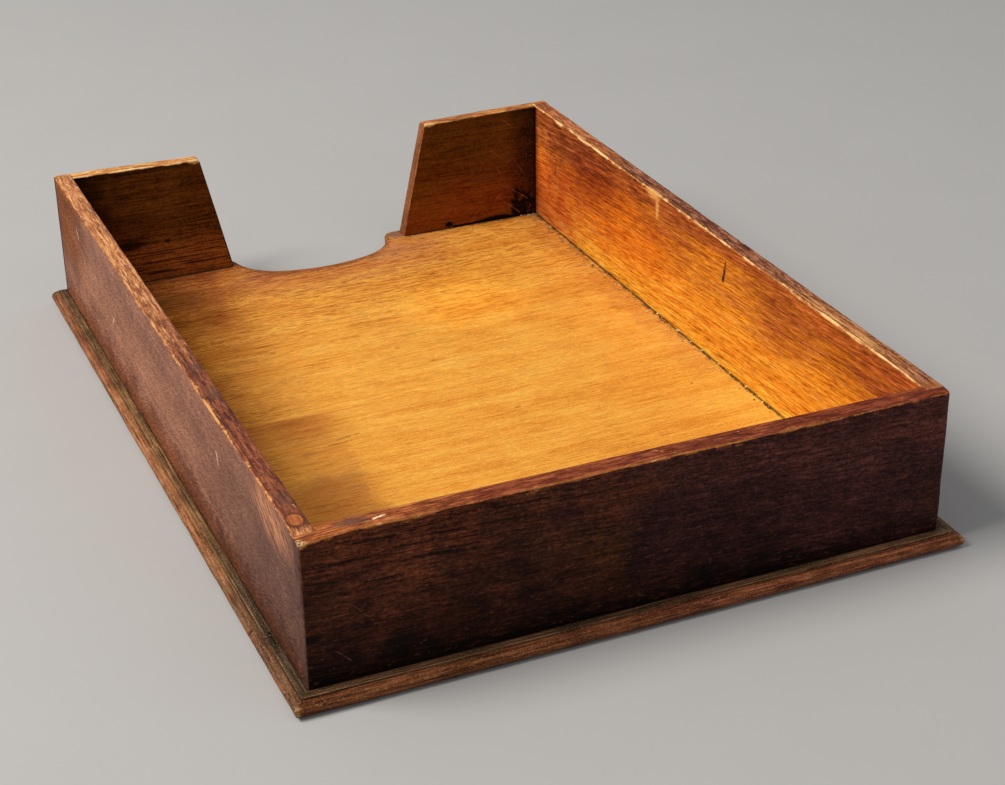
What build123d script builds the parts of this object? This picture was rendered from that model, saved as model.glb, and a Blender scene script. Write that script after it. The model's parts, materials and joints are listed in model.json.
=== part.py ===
from build123d import *
import os
from math import atan2, degrees

# Old wooden filing tray: a moulded two-board base carries two sides, a rear wall and two front cheeks.
# Sizes are in millimetres. The origin is the middle of the base's footprint, on the surface that the
# tray stands on. +Z is up, the open front with the finger cut-out faces -Y, and +X is the user's right.

# Walls
tray_width = 262.0            # over the outer faces of the two sides
tray_length = 374.0           # front of the cheeks to the outer face of the rear wall
wall_height = 61.0            # every wall, above the base
side_thickness = 8.0
rear_thickness = 9.0
cheek_thickness = 7.0

# Front cheeks, measured from the outer face of the side
cheek_width_top = 71.0
cheek_width_foot = 84.5
cheek_corner_radius = 1.5     # top inner corner, worn round

# Rebated corners: what is left of the overlapping board outside the side's end
rear_lap = 5.5
cheek_lap = 3.0

# Base boards and their moulded edge
base_thickness = 6.4
base_overhang = 7.5           # past the rear wall and past each side
front_overhang = 2.7          # past the cheeks
rear_board_width = 203.0      # the glued seam lies this far from the base's rear edge
moulding_lip = 3.8            # flat border left outside the walls
moulding_quirk = 0.7          # small step down between the flat border and the round
moulding_drop = 3.1           # from the base's top down to the fullest point of the round
front_round = 1.2             # the plain front edge and the cut-out are only eased

# Finger cut-out in the front board: a three-centred arch that springs from the front edge
cutout_half_width = 41.0
cutout_depth = 28.0
crown_radius = 72.0           # the flatter middle arc
cutout_corner_radius = 5.5    # where the arch meets the front edge
cutout_offset = 3.0           # the cut-out was sawn this far to the right of the middle

# Edges rounded by handling
top_edge_radius = 0.9
corner_radius = 1.4           # upright corners at the rear

# Steel panel pins through the overlapping boards into the ends of the sides
pin_diameter = 1.4
pin_head_diameter = 2.2
pin_head_height = 0.8
pin_length = 22.0
pin_count = 3                 # in each corner
pin_margin = 11.0             # first and last pin from the lower and upper edge of the wall
pin_sink = 0.3                # heads punched below the face

# Slotted countersunk wood screws, up through the base into the lower edges of the walls
screw_length = 22.0
screw_shank_diameter = 2.6
screw_shank_length = 9.0      # head and plain shank together
screw_core_diameter = 1.9
screw_point_length = 3.0
screw_head_diameter = 5.2
screw_head_rim = 0.3
screw_head_height = 1.7
screw_slot_width = 0.8
screw_slot_depth = 0.7
screw_slot_turn = 37.0        # degrees from one screw's slot to the next, as they were driven
screw_sink = 0.3              # heads stop short of the surface that the tray stands on
side_screw_count = 4
rear_screw_count = 3
cheek_screw_count = 2
screw_margin = 34.0           # first and last screw of a side or of the rear wall, from its ends
cheek_screw_margin = 18.0     # the same along a cheek's foot

fit = 0.05                    # play all round a pin or a screw in its hole
proud = 5.0                   # how far a cutting shape runs past the face that it opens
reach = 0.5                   # how far to each side of its place an edge is looked for

# Places worked out from the sizes above
base_width = tray_width + 2 * base_overhang
base_length = front_overhang + tray_length + base_overhang
base_front = -base_length / 2
base_rear = base_length / 2
seam_y = base_rear - rear_board_width
wall_front = base_front + front_overhang
wall_rear = base_rear - base_overhang
wall_top = base_thickness + wall_height
half_width = tray_width / 2
inner_half_width = half_width - side_thickness
side_middle_x = half_width - side_thickness / 2
side_front = wall_front + cheek_lap
side_rear = wall_rear - rear_lap


def spread(first, last, count):
    """Evenly spaced places from first to last."""
    step = (last - first) / max(count - 1, 1)
    return [first + step * i for i in range(count)]


def board(x_from, x_to, y_from, y_to, z_from, z_to, mode=Mode.ADD):
    """A squared board between two planes in each direction, for the part being built."""
    with Locations(((x_from + x_to) / 2, (y_from + y_to) / 2, (z_from + z_to) / 2)):
        Box(abs(x_to - x_from), abs(y_to - y_from), abs(z_to - z_from), mode=mode)


def moulding_waste():
    """What the moulding plane takes off one edge of the base, with the wall's outer face at x = 0."""
    under_radius = base_thickness - moulding_drop
    lip_foot = base_thickness - moulding_quirk
    outside = base_overhang + proud
    with BuildPart() as waste:
        with BuildSketch(Plane.XZ):
            with BuildLine():
                Polyline(
                    (outside, base_thickness + proud),
                    (moulding_lip, base_thickness + proud),
                    (moulding_lip, lip_foot),
                )
                EllipticalCenterArc(
                    (moulding_lip, under_radius),
                    base_overhang - moulding_lip,
                    lip_foot - under_radius,
                    start_angle=0,
                    arc_size=90,
                )
                CenterArc((base_overhang - under_radius, under_radius), under_radius, 270, 90)
                Polyline(
                    (base_overhang - under_radius, 0),
                    (base_overhang - under_radius, -proud),
                    (outside, -proud),
                    (outside, base_thickness + proud),
                )
            make_face()
        extrude(amount=base_length, both=True)
    return waste.part


def pin_shape(play=0.0, open_head=0.0):
    """A panel pin along +Z with its head at z = 0, or with play and an open head, its hole."""
    with BuildPart() as turned:
        with BuildSketch(Plane.XZ):
            with BuildLine():
                Polyline(
                    (0, -open_head),
                    (pin_head_diameter / 2 + play, -open_head),
                    (pin_head_diameter / 2 + play, pin_head_height / 2),
                    (pin_diameter / 2 + play, pin_head_height),
                    (pin_diameter / 2 + play, pin_length - pin_diameter),
                    (0, pin_length + play),
                    close=True,
                )
            make_face()
        revolve(axis=Axis.Z)
    return turned.part


def screw_shape(play=0.0, open_head=0.0):
    """A wood screw along +Z with its head at z = 0, or with play and an open head, its hole."""
    with BuildPart() as turned:
        with BuildSketch(Plane.XZ):
            with BuildLine():
                Polyline(
                    (0, -open_head),
                    (screw_head_diameter / 2 + play, -open_head),
                    (screw_head_diameter / 2 + play, screw_head_rim),
                    (screw_shank_diameter / 2 + play, screw_head_height),
                    (screw_shank_diameter / 2 + play, screw_shank_length),
                    (screw_core_diameter / 2 + play, screw_shank_length),
                    (screw_core_diameter / 2 + play, screw_length - screw_point_length),
                    (0, screw_length + play),
                    close=True,
                )
            make_face()
        revolve(axis=Axis.Z)
    return turned.part


def bore(hole, places):
    """Take the same hole out of the part being built at each place."""
    with Locations(*places):
        add(hole, mode=Mode.SUBTRACT)


def save(piece, name):
    """Name a finished piece and write it to its own file."""
    piece.label = name
    export_step(piece, f"parts/{name}.step")


os.makedirs("parts", exist_ok=True)

# Where the fixings go, for each hand: -1 is the left side and 1 the right
hands = {"left": -1, "right": 1}
pin_heights = spread(base_thickness + pin_margin, wall_top - pin_margin, pin_count)
side_screw_ys = spread(side_front + screw_margin, side_rear - screw_margin, side_screw_count)
rear_screw_xs = spread(-half_width + screw_margin, half_width - screw_margin, rear_screw_count)
cheek_screw_xs = spread(
    half_width - cheek_width_foot + cheek_screw_margin,
    half_width - cheek_screw_margin,
    cheek_screw_count,
)
cheek_middle_y = wall_front + cheek_thickness / 2
rear_middle_y = wall_rear - rear_thickness / 2

rear_pins = {}
front_pins = {}
side_screws = {}
cheek_screws = {}
for name, hand in hands.items():
    x = hand * side_middle_x
    rear_pins[name] = [Location((x, wall_rear - pin_sink, z), (90, 0, 0)) for z in pin_heights]
    front_pins[name] = [Location((x, wall_front + pin_sink, z), (-90, 0, 0)) for z in pin_heights]
    side_screws[name] = [Location((x, y, screw_sink)) for y in side_screw_ys]
    cheek_screws[name] = [Location((hand * u, cheek_middle_y, screw_sink)) for u in cheek_screw_xs]
rear_screws = [Location((x, rear_middle_y, screw_sink)) for x in rear_screw_xs]

all_screws = rear_screws.copy()
for name in hands:
    all_screws += side_screws[name] + cheek_screws[name]

pin_hole = pin_shape(play=fit, open_head=pin_sink + proud)
screw_hole = screw_shape(play=fit, open_head=screw_sink + proud)

# The moulding runs along both sides and the rear, and meets itself in a mitre at the rear corners
edge_waste = moulding_waste()
edge_places = [
    Location((half_width, 0, 0)),
    Location((0, wall_rear, 0), (0, 0, 90)),
    Location((-half_width, 0, 0), (0, 0, 180)),
]

# Rear base board, glued edge to edge to the front one, grain running from side to side
with BuildPart() as base_rear_board:
    board(-base_width / 2, base_width / 2, seam_y, base_rear, 0, base_thickness)
    with Locations(*edge_places):
        add(edge_waste, mode=Mode.SUBTRACT)
    bore(screw_hole, all_screws)
save(base_rear_board.part, "base_rear_board")

# Front base board, with the finger cut-out sawn through its front edge. The two shoulder arcs are
# centred on the front edge and run on smoothly into the crown arc.
shoulder_radius = (
    (2 * crown_radius * cutout_depth - cutout_half_width**2 - cutout_depth**2)
    / (2 * (crown_radius - cutout_half_width))
)
crown_centre_y = base_front + cutout_depth - crown_radius
shoulder_centre_u = cutout_half_width - shoulder_radius
crown_half_angle = degrees(atan2(shoulder_centre_u, crown_radius - cutout_depth))

with BuildPart() as base_front_board:
    with BuildSketch(Plane.XY) as outline:
        with BuildLine():
            CenterArc(
                (cutout_offset, crown_centre_y),
                crown_radius,
                90 - crown_half_angle,
                2 * crown_half_angle,
            )
            right_shoulder = CenterArc(
                (cutout_offset + shoulder_centre_u, base_front),
                shoulder_radius,
                0,
                90 - crown_half_angle,
            )
            left_shoulder = mirror(right_shoulder, about=Plane.YZ.offset(cutout_offset))
            Polyline(
                right_shoulder @ 0,
                (base_width / 2, base_front),
                (base_width / 2, seam_y),
                (-base_width / 2, seam_y),
                (-base_width / 2, base_front),
                left_shoulder @ 0,
            )
        make_face()
        front_corners = outline.vertices().group_by(Axis.Y)[0].sort_by(Axis.X)
        fillet(front_corners[1:-1], cutout_corner_radius)
    extrude(amount=base_thickness)
    flat_faces = base_front_board.faces().filter_by(Axis.Z)
    front_edges = flat_faces.edges().filter_by_position(
        Axis.Y, base_front - reach, base_front + cutout_depth + reach
    )
    eased = front_edges.filter_by_position(Axis.X, reach - base_width / 2, base_width / 2 - reach)
    fillet(eased, front_round)
    with Locations(*edge_places):
        add(edge_waste, mode=Mode.SUBTRACT)
    bore(screw_hole, all_screws)
save(base_front_board.part, "base_front_board")

# Rear wall, across the ends of both sides, with a rebate for each
with BuildPart() as rear_wall:
    board(-half_width, half_width, wall_rear - rear_thickness, wall_rear, base_thickness, wall_top)
    outer_face = rear_wall.faces().sort_by(Axis.Y)[-1]
    fillet(outer_face.edges().filter_by(Axis.Z), corner_radius)
    for hand in hands.values():
        board(
            hand * inner_half_width,
            hand * (half_width + proud),
            wall_rear - rear_thickness - proud,
            side_rear,
            base_thickness - proud,
            wall_top + proud,
            mode=Mode.SUBTRACT,
        )
    top_face = rear_wall.faces().sort_by(Axis.Z)[-1]
    long_edges = top_face.edges().filter_by(Axis.X).group_by(Axis.Y)
    fillet(long_edges[0] + long_edges[-1], top_edge_radius)
    bore(pin_hole, rear_pins["left"] + rear_pins["right"])
    bore(screw_hole, rear_screws)
save(rear_wall.part, "rear_wall")

# Sides, standing on the base between the overlapping boards
for name, hand in hands.items():
    with BuildPart() as side:
        board(
            hand * inner_half_width,
            hand * half_width,
            side_front,
            side_rear,
            base_thickness,
            wall_top,
        )
        top_face = side.faces().sort_by(Axis.Z)[-1]
        fillet(top_face.edges().filter_by(Axis.Y), top_edge_radius)
        bore(pin_hole, rear_pins[name] + front_pins[name])
        bore(screw_hole, side_screws[name])
    save(side.part, f"side_{name}")

# Front cheeks, rebated over the sides' ends, with a sloping inner edge
for name, hand in hands.items():
    with BuildPart() as cheek:
        with BuildSketch(Plane.XZ.offset(-wall_front)) as outline:
            with BuildLine():
                Polyline(
                    (hand * half_width, base_thickness),
                    (hand * half_width, wall_top),
                    (hand * (half_width - cheek_width_top), wall_top),
                    (hand * (half_width - cheek_width_foot), base_thickness),
                    close=True,
                )
            make_face()
            top_corners = outline.vertices().group_by(Axis.Y)[-1]
            fillet(top_corners.sort_by(Axis.X)[0 if hand > 0 else -1], cheek_corner_radius)
        extrude(amount=-cheek_thickness)
        board(
            hand * inner_half_width,
            hand * (half_width + proud),
            side_front,
            wall_front + cheek_thickness + proud,
            base_thickness - proud,
            wall_top + proud,
            mode=Mode.SUBTRACT,
        )
        top_face = cheek.faces().filter_by(Axis.Z).sort_by(Axis.Z)[-1]
        long_edges = top_face.edges().filter_by(Axis.X).group_by(Axis.Y)
        fillet(long_edges[0] + long_edges[-1], top_edge_radius)
        bore(pin_hole, front_pins[name])
        bore(screw_hole, cheek_screws[name])
    save(cheek.part, f"cheek_{name}")

# Pins, head outwards in each overlapping board
panel_pin = pin_shape()
for name in hands:
    for number, location in enumerate(rear_pins[name], start=1):
        save(panel_pin.moved(location), f"pin_rear_{name}_{number}")
    for number, location in enumerate(front_pins[name], start=1):
        save(panel_pin.moved(location), f"pin_front_{name}_{number}")

# Screws, each left with its slot at another angle
with BuildPart() as wood_screw:
    add(screw_shape())
    with Locations((0, 0, screw_slot_depth / 2)):
        Box(screw_head_diameter + fit, screw_slot_width, screw_slot_depth, mode=Mode.SUBTRACT)

screw_rows = {"screw_rear": rear_screws}
for name in hands:
    screw_rows[f"screw_side_{name}"] = side_screws[name]
    screw_rows[f"screw_cheek_{name}"] = cheek_screws[name]
turn = 0.0
for row, locations in screw_rows.items():
    for number, location in enumerate(locations, start=1):
        turn += screw_slot_turn
        save(wood_screw.part.moved(location * Rotation(0, 0, turn)), f"{row}_{number}")
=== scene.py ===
# %% [markdown]
# # An old wooden filing tray
#
# The tray is seven boards: a moulded base in two widths, two sides, a rear wall and two front cheeks.
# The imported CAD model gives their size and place, and the pins and screws that hold them. Here each
# board is made again as a worn one, inside the squared one, with a finish made of nodes.

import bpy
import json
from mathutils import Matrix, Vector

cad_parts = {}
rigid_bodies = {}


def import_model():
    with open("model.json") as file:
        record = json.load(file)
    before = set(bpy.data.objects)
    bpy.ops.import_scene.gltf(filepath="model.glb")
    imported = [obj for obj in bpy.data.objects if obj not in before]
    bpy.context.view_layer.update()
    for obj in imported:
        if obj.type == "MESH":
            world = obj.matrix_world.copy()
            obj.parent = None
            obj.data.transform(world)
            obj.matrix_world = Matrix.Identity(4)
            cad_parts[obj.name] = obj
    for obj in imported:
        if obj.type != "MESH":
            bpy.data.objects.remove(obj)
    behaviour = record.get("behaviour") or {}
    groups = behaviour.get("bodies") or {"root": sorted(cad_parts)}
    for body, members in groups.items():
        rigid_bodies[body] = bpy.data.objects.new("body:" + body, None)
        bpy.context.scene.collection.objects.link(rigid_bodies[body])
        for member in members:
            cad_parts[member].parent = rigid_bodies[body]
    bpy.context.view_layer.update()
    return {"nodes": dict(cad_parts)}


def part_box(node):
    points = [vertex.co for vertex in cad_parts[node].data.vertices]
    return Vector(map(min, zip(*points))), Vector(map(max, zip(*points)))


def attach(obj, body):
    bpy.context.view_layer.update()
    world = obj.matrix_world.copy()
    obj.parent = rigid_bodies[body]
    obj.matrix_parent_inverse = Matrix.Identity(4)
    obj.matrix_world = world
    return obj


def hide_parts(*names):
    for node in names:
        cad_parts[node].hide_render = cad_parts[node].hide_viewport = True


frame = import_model()
print("CAD nodes:", len(frame["nodes"]))

# %% [markdown]
# All is worked out in millimetres, as at a bench, and turned to metres when a mesh is made. numpy holds
# a board's points in one array, so that one sum moves them all. Blender's noise is the same on each run.

# %% Units and the sizes that the frame gives
import bpy
import bmesh
import json
import numpy as np
from math import atan2, cos, pi, radians, sin, sqrt
from mathutils import Matrix, Vector, noise

MM = 0.001


def corners(node):
    """Lowest and highest corner of a CAD node, in millimetres."""
    low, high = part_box(node)
    return np.array(low) / MM, np.array(high) / MM


base_low, base_high = corners("base_rear_board")
front_low = corners("base_front_board")[0]
rear_low, rear_high = corners("rear_wall")
side_low, side_high = corners("side_right")
cheek_low, cheek_high = corners("cheek_right")

half_width = side_high[0]
inner_half_width = side_low[0]
base_top = side_low[2]
wall_top = side_high[2]
half_base = base_high[0]
base_rear = base_high[1]
base_front = front_low[1]
seam_y = base_low[1]
overhang = half_base - half_width
print(f"base {2 * half_base:.1f} x {base_rear - base_front:.1f} mm, walls to {wall_top:.1f} mm")

# %% [markdown]
# ## Camera
#
# The camera stands behind the tray and to one side. Its place and lens make the rear wall's two top
# corners and the far cheeks fall where the photograph has them. Three turns written out are exact,
# where a constraint would add an object to aim at.

# %% Camera
camera_place = Vector((0.2968, 0.7464, 0.4213))
camera_azimuth = 156.77       # degrees round Z, 0 looks along +Y
camera_elevation = 27.2       # degrees that it looks down
camera_roll = -0.756
lens = 72.64                  # millimetres on a sensor 36 mm wide

camera_data = bpy.data.cameras.new("tray_camera")
camera_data.lens = lens
camera_data.sensor_width = 36
camera_data.clip_start = 0.01
camera = bpy.data.objects.new("tray_camera", camera_data)
turn = (
    Matrix.Rotation(radians(camera_azimuth), 4, "Z")
    @ Matrix.Rotation(radians(90 - camera_elevation), 4, "X")
    @ Matrix.Rotation(radians(camera_roll), 4, "Z")
)
camera.matrix_world = Matrix.Translation(camera_place) @ turn
bpy.context.scene.collection.objects.link(camera)
bpy.context.scene.camera = camera
bpy.context.scene.view_settings.view_transform = "Standard"
print("camera at", [round(v, 3) for v in camera_place])

# %% [markdown]
# ## Light and floor
#
# One large soft lamp stands to the tray's own right, half way up the sky, and leaves the rear face in
# the shade that a dim even world fills. Its power follows from how white it makes a card lying flat: a
# lamp of P watts at a distance d lights a card that faces it with P / (pi d)^2.

# %% Lamp and world
lamp_elevation = radians(50)
lamp_swing = radians(6)       # the lamp stands a little towards the open front
lamp_distance = 2.4
lamp_size = 1.3
flat_light = 0.72             # what the lamp gives a white card lying flat
world_light = 0.36


def add_lamp():
    """The soft lamp, aimed at the tray's middle."""
    towards = Vector((
        cos(lamp_elevation) * cos(lamp_swing),
        -cos(lamp_elevation) * sin(lamp_swing),
        sin(lamp_elevation),
    ))
    data = bpy.data.lights.new("soft_lamp", "AREA")
    data.shape = "DISK"
    data.size = lamp_size
    data.energy = flat_light / sin(lamp_elevation) * (pi * lamp_distance) ** 2
    data.color = (1.0, 0.97, 0.93)
    lamp = bpy.data.objects.new("soft_lamp", data)
    lamp.location = towards * lamp_distance
    lamp.rotation_euler = towards.to_track_quat("Z", "Y").to_euler()
    bpy.context.scene.collection.objects.link(lamp)
    return data.energy


world = bpy.data.worlds.new("studio")
world.use_nodes = True
world.node_tree.nodes["Background"].inputs["Color"].default_value = (0.95, 0.97, 1.0, 1)
world.node_tree.nodes["Background"].inputs["Strength"].default_value = world_light
bpy.context.scene.world = world
print(f"lamp {add_lamp():.0f} W, world {world_light}")

# %% [markdown]
# ## Maths on sockets
#
# A wood finish is mostly sums on noise. Written as nodes and links, a sum of three terms takes a page.
# A Signal wraps one output socket, so that `0.3 * fibre + 0.7 * pores` adds the Math nodes by itself.

# %% Signals
class Signal:
    """One output socket of a finish. Arithmetic on it adds the Math nodes that do the sum."""

    def __init__(self, finish, socket):
        self.finish = finish
        self.socket = socket

    def math(self, operation, *values):
        return self.finish.node("ShaderNodeMath", {"operation": operation}, dict(enumerate(values)))

    def __add__(self, other):
        return self.math("ADD", self, other)

    def __radd__(self, other):
        return self.math("ADD", other, self)

    def __sub__(self, other):
        return self.math("SUBTRACT", self, other)

    def __rsub__(self, other):
        return self.math("SUBTRACT", other, self)

    def __mul__(self, other):
        return self.math("MULTIPLY", self, other)

    def __rmul__(self, other):
        return self.math("MULTIPLY", other, self)

    def __abs__(self):
        return self.math("ABSOLUTE", self)

    def low(self, other):
        return self.math("MINIMUM", self, other)

    def high(self, other):
        return self.math("MAXIMUM", self, other)

    def rise(self, start, end):
        """0 below start and 1 above end, with a smooth step between; start may be above end."""
        settings = {"interpolation_type": "SMOOTHSTEP"}
        return self.finish.node("ShaderNodeMapRange", settings, {0: self, 1: start, 2: end, 3: 0, 4: 1})


print("signals can be summed")

# %% [markdown]
# All nodes come from one method, `node`, which fills a socket with a number, a colour or a signal. So a
# finish, or the tree that grows the crumbs further down, says only what goes in.

# %% Nodes
class Nodes:
    """A node tree that is filled through one method, so that each node takes one line."""

    def __init__(self, tree):
        self.tree = tree

    def node(self, kind, settings=None, values=None, output=0):
        """Adds a node, sets it, fills its sockets with numbers, tuples or signals, and gives one output."""
        node = self.tree.nodes.new(kind)
        for name, setting in (settings or {}).items():
            setattr(node, name, setting)
        for name, value in (values or {}).items():
            self.fill(node.inputs[name], value)
        return Signal(self, node.outputs[output])

    def vectors(self, operation, *values, output=0, **named):
        """A sum on vectors, such as ADD or LENGTH."""
        values = {**dict(enumerate(values)), **named}
        return self.node("ShaderNodeVectorMath", {"operation": operation}, values, output)

    def shift(self, vector, offset):
        return self.vectors("ADD", vector, offset)

    def fill(self, socket, value):
        """Links a signal to a socket, or sets the socket's own value."""
        if isinstance(value, Signal):
            self.tree.links.new(value.socket, socket)
        elif isinstance(value, tuple) and len(value) == 3 and socket.type == "RGBA":
            socket.default_value = (*value, 1)
        else:
            socket.default_value = value


print("node trees can be filled")

# %% [markdown]
# A Finish is the nodes of one material. It knows the point's place in millimetres, makes noise with
# features of a size given in millimetres, and mixes colours as paint that covers or as a thin glaze.

# %% Finishes
class Finish(Nodes):
    """The nodes of one material of the tray. Its seed shifts all its noise."""

    seed = 0.0

    def __init__(self, name, specular=0.3):
        self.material = bpy.data.materials.new(name)
        self.material.use_nodes = True
        super().__init__(self.material.node_tree)
        self.shader = self.tree.nodes["Principled BSDF"]
        self.shader.inputs["Specular IOR Level"].default_value = specular

    def place(self):
        """The point's place on the tray, in millimetres."""
        metres = self.node("ShaderNodeTexCoord", output="Object")
        return self.scale(metres, (1 / MM, 1 / MM, 1 / MM))

    def stored(self, name, output="Fac"):
        """A value that the mesh carries at its points."""
        return self.node("ShaderNodeAttribute", {"attribute_name": name}, output=output)

    def scale(self, vector, factors):
        return self.vectors("MULTIPLY", vector, factors)

    def split(self, vector):
        """The x, y and z of a vector, as three signals."""
        x = self.node("ShaderNodeSeparateXYZ", None, {0: vector})
        return [Signal(self, socket) for socket in x.socket.node.outputs]

    def join(self, x, y, z):
        return self.node("ShaderNodeCombineXYZ", None, {0: x, 1: y, 2: z})

    def cloud(self, vector, size, detail=2.0, roughness=0.5, distortion=0.0, seed=0.0):
        """Noise round 0.5. size in millimetres: one number, (along, across) or (x, y, z)."""
        sizes = size if isinstance(size, tuple) else (size,)
        sizes += sizes[-1:] * (3 - len(sizes))
        seed += self.seed
        fine = self.scale(vector, tuple(1 / s for s in sizes))
        values = {
            "Vector": self.shift(fine, (seed, seed * 0.7, seed * 1.3)),
            "Scale": 1.0,
            "Detail": detail,
            "Roughness": roughness,
            "Distortion": distortion,
        }
        return self.node("ShaderNodeTexNoise", None, values)

    def blend(self, first, second, share):
        """The first colour, going over to the second as share rises from 0 to 1."""
        settings = {"data_type": "RGBA", "clamp_factor": True}
        return self.node("ShaderNodeMix", settings, {0: share, 6: first, 7: second}, output=2)

    def tint(self, colour, by, share):
        """A colour multiplied by another, as a thin glaze of that colour over it."""
        settings = {"data_type": "RGBA", "blend_type": "MULTIPLY", "clamp_factor": True}
        return self.node("ShaderNodeMix", settings, {0: share, 6: colour, 7: by}, output=2)

    def finish(self, colour, roughness, height=None):
        """Plugs in the colour, the roughness and a relief given in millimetres."""
        self.fill(self.shader.inputs["Base Color"], colour)
        self.fill(self.shader.inputs["Roughness"], roughness)
        if height is not None:
            bump = self.node("ShaderNodeBump", None, {"Strength": 1.0, "Distance": MM, "Height": height})
            self.fill(self.shader.inputs["Normal"], bump)
        return self.material


print("finishes can be mixed")

# %% [markdown]
# The floor is a plain pale sheet, far larger than the view. It is stage, so it isn't part of the tray.

# %% Floor
stage_radius = 6.0
stage_colour = (0.5, 0.488, 0.472)


def add_floor():
    """A round pale sheet just under the tray."""
    mesh = bpy.data.meshes.new("studio_floor")
    built = bmesh.new()
    bmesh.ops.create_circle(built, cap_ends=True, segments=96, radius=stage_radius)
    bmesh.ops.translate(built, verts=built.verts, vec=(0, 0, -0.1 * MM))
    built.to_mesh(mesh)
    built.free()
    floor = bpy.data.objects.new("studio_floor", mesh)
    bpy.context.scene.collection.objects.link(floor)
    pale = Finish("pale_floor", specular=0.2)
    mottle = pale.cloud(pale.place(), 60, detail=3.0)
    pale.finish(pale.blend(stage_colour, tuple(c * 0.95 for c in stage_colour), mottle), 0.9)
    mesh.materials.append(pale.material)


add_floor()
print("floor radius", stage_radius, "m")

# %% [markdown]
# ## Squared boards, then worn ones
#
# Years of hands have rounded and chipped the arrises unevenly, where a Bevel modifier would round them
# all alike. So a board's surface is cut by planes in three directions, closest near the arrises, and its
# points are then moved. Each point's first place is kept, so that the finish knows how far off the arris
# was.

# %% Cutting planes
def even(start, end, step):
    """Evenly spaced planes from start to end, at most step apart."""
    return np.linspace(start, end, int(np.ceil((end - start) / step)) + 1)


def near_both_ends(start, end, near, step):
    """Planes at the given distances in from both ends, and evenly spaced ones between."""
    near = np.array(near)
    middle = even(start + near[-1], end - near[-1], step)
    return np.concatenate([start + near[:-1], middle, end - near[:-1][::-1]])


def block_surface(cuts):
    """Points and outward quads of a block's surface, cut by the planes given for x, y and z."""
    shape = [len(c) for c in cuts]
    index = np.indices(shape)
    outside = np.zeros(shape, bool)
    for axis in range(3):
        outside |= (index[axis] == 0) | (index[axis] == shape[axis] - 1)
    number = np.full(shape, -1)
    number[outside] = np.arange(outside.sum())
    points = np.stack([cuts[axis][index[axis][outside]] for axis in range(3)], axis=1)
    quads = []
    for axis in range(3):
        for end in (0, -1):
            sheet = number.take(end, axis)
            face = np.stack([sheet[:-1, :-1], sheet[1:, :-1], sheet[1:, 1:], sheet[:-1, 1:]], axis=-1)
            face = face.reshape(-1, 4)
            inwards = (end == 0) != (axis == 1)
            quads.append(face[:, ::-1] if inwards else face)
    return points, np.concatenate(quads)


def wall_heights(margin, step, top_lines):
    """Planes from a wall's foot to its top, close together near both."""
    foot_lines = [0, 0.15, 0.6, 2]
    return np.concatenate([
        base_top + np.array(foot_lines),
        even(base_top + margin, wall_top - margin, step),
        wall_top - np.array(top_lines[::-1]),
    ])


arris_lines = [0, 0.12, 0.3, 0.55, 0.85, 1.25, 1.8, 2.6]
test_points, test_quads = block_surface([near_both_ends(0, 8, arris_lines, 1.5)] * 3)
print("an 8 mm cube takes", len(test_points), "points and", len(test_quads), "quads")

# %% [markdown]
# Rounding pulls the points near an arris on to a quarter circle, chips push them in where lumpy noise is
# high, and a scoop is one smooth hollow. Each only takes wood away, so a worn board always fits inside
# its squared one.

# %% Wear on points
def ripple(points, size, seed):
    """Smooth noise from about -1 to 1 at each point, with features of the given size in millimetres."""
    moved = points / np.array(size, float) + np.array([17.3, 5.1, 9.7]) * seed
    return np.array([noise.noise(p) for p in moved.tolist()])


def round_arris(points, planes, radius):
    """Wears one arris to a quarter round. planes are (axis, place, side) of the two faces that meet."""
    (a, place_a, side_a), (b, place_b, side_b) = planes
    depth_a = (place_a - points[:, a]) * side_a
    depth_b = (place_b - points[:, b]) * side_b
    near = (depth_a < radius) & (depth_b < radius)
    off_a = np.where(near, radius - depth_a, 1.0)
    off_b = np.where(near, radius - depth_b, 0.0)
    share = np.maximum(off_a, off_b) / np.hypot(off_a, off_b)
    points[:, a] = np.where(near, place_a - side_a * (radius - off_a * share), points[:, a])
    points[:, b] = np.where(near, place_b - side_b * (radius - off_b * share), points[:, b])


def chip_arris(points, squared, planes, size, depth, threshold, seed):
    """Knocks irregular chips out of an arris and says how deep each point went."""
    (a, place_a, side_a), (b, place_b, side_b) = planes
    distance = np.maximum(np.abs(squared[:, a] - place_a), np.abs(squared[:, b] - place_b))
    close = np.clip(1 - distance / size, 0, 1)
    lumps = ripple(squared, (size, size, size), seed) + 0.4 * ripple(squared, (size / 3,) * 3, seed + 1)
    gone = np.clip(lumps - threshold, 0, None) * close * depth
    points[:, a] -= side_a * gone
    points[:, b] -= side_b * gone
    return gone


def scoop(points, centre, reach, depth, direction):
    """Takes a smooth hollow out of the board round a centre, and says how deep each point went."""
    offset = (points - np.array(centre)) / np.array(reach)
    share = np.clip(1 - (offset**2).sum(axis=1), 0, 1)
    gone = depth * share * share
    points += np.outer(gone, direction)
    return gone


joint_ease = 0.16             # arrises that lie in a joint are hardly worn
print("arrises in joints are eased by", joint_ease, "mm")

# %% [markdown]
# A mesh can carry values at its points. Three are stored for the finishes: the place before the wear, how
# much wood a chip took, and the distance from the cut-out's edge.

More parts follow.
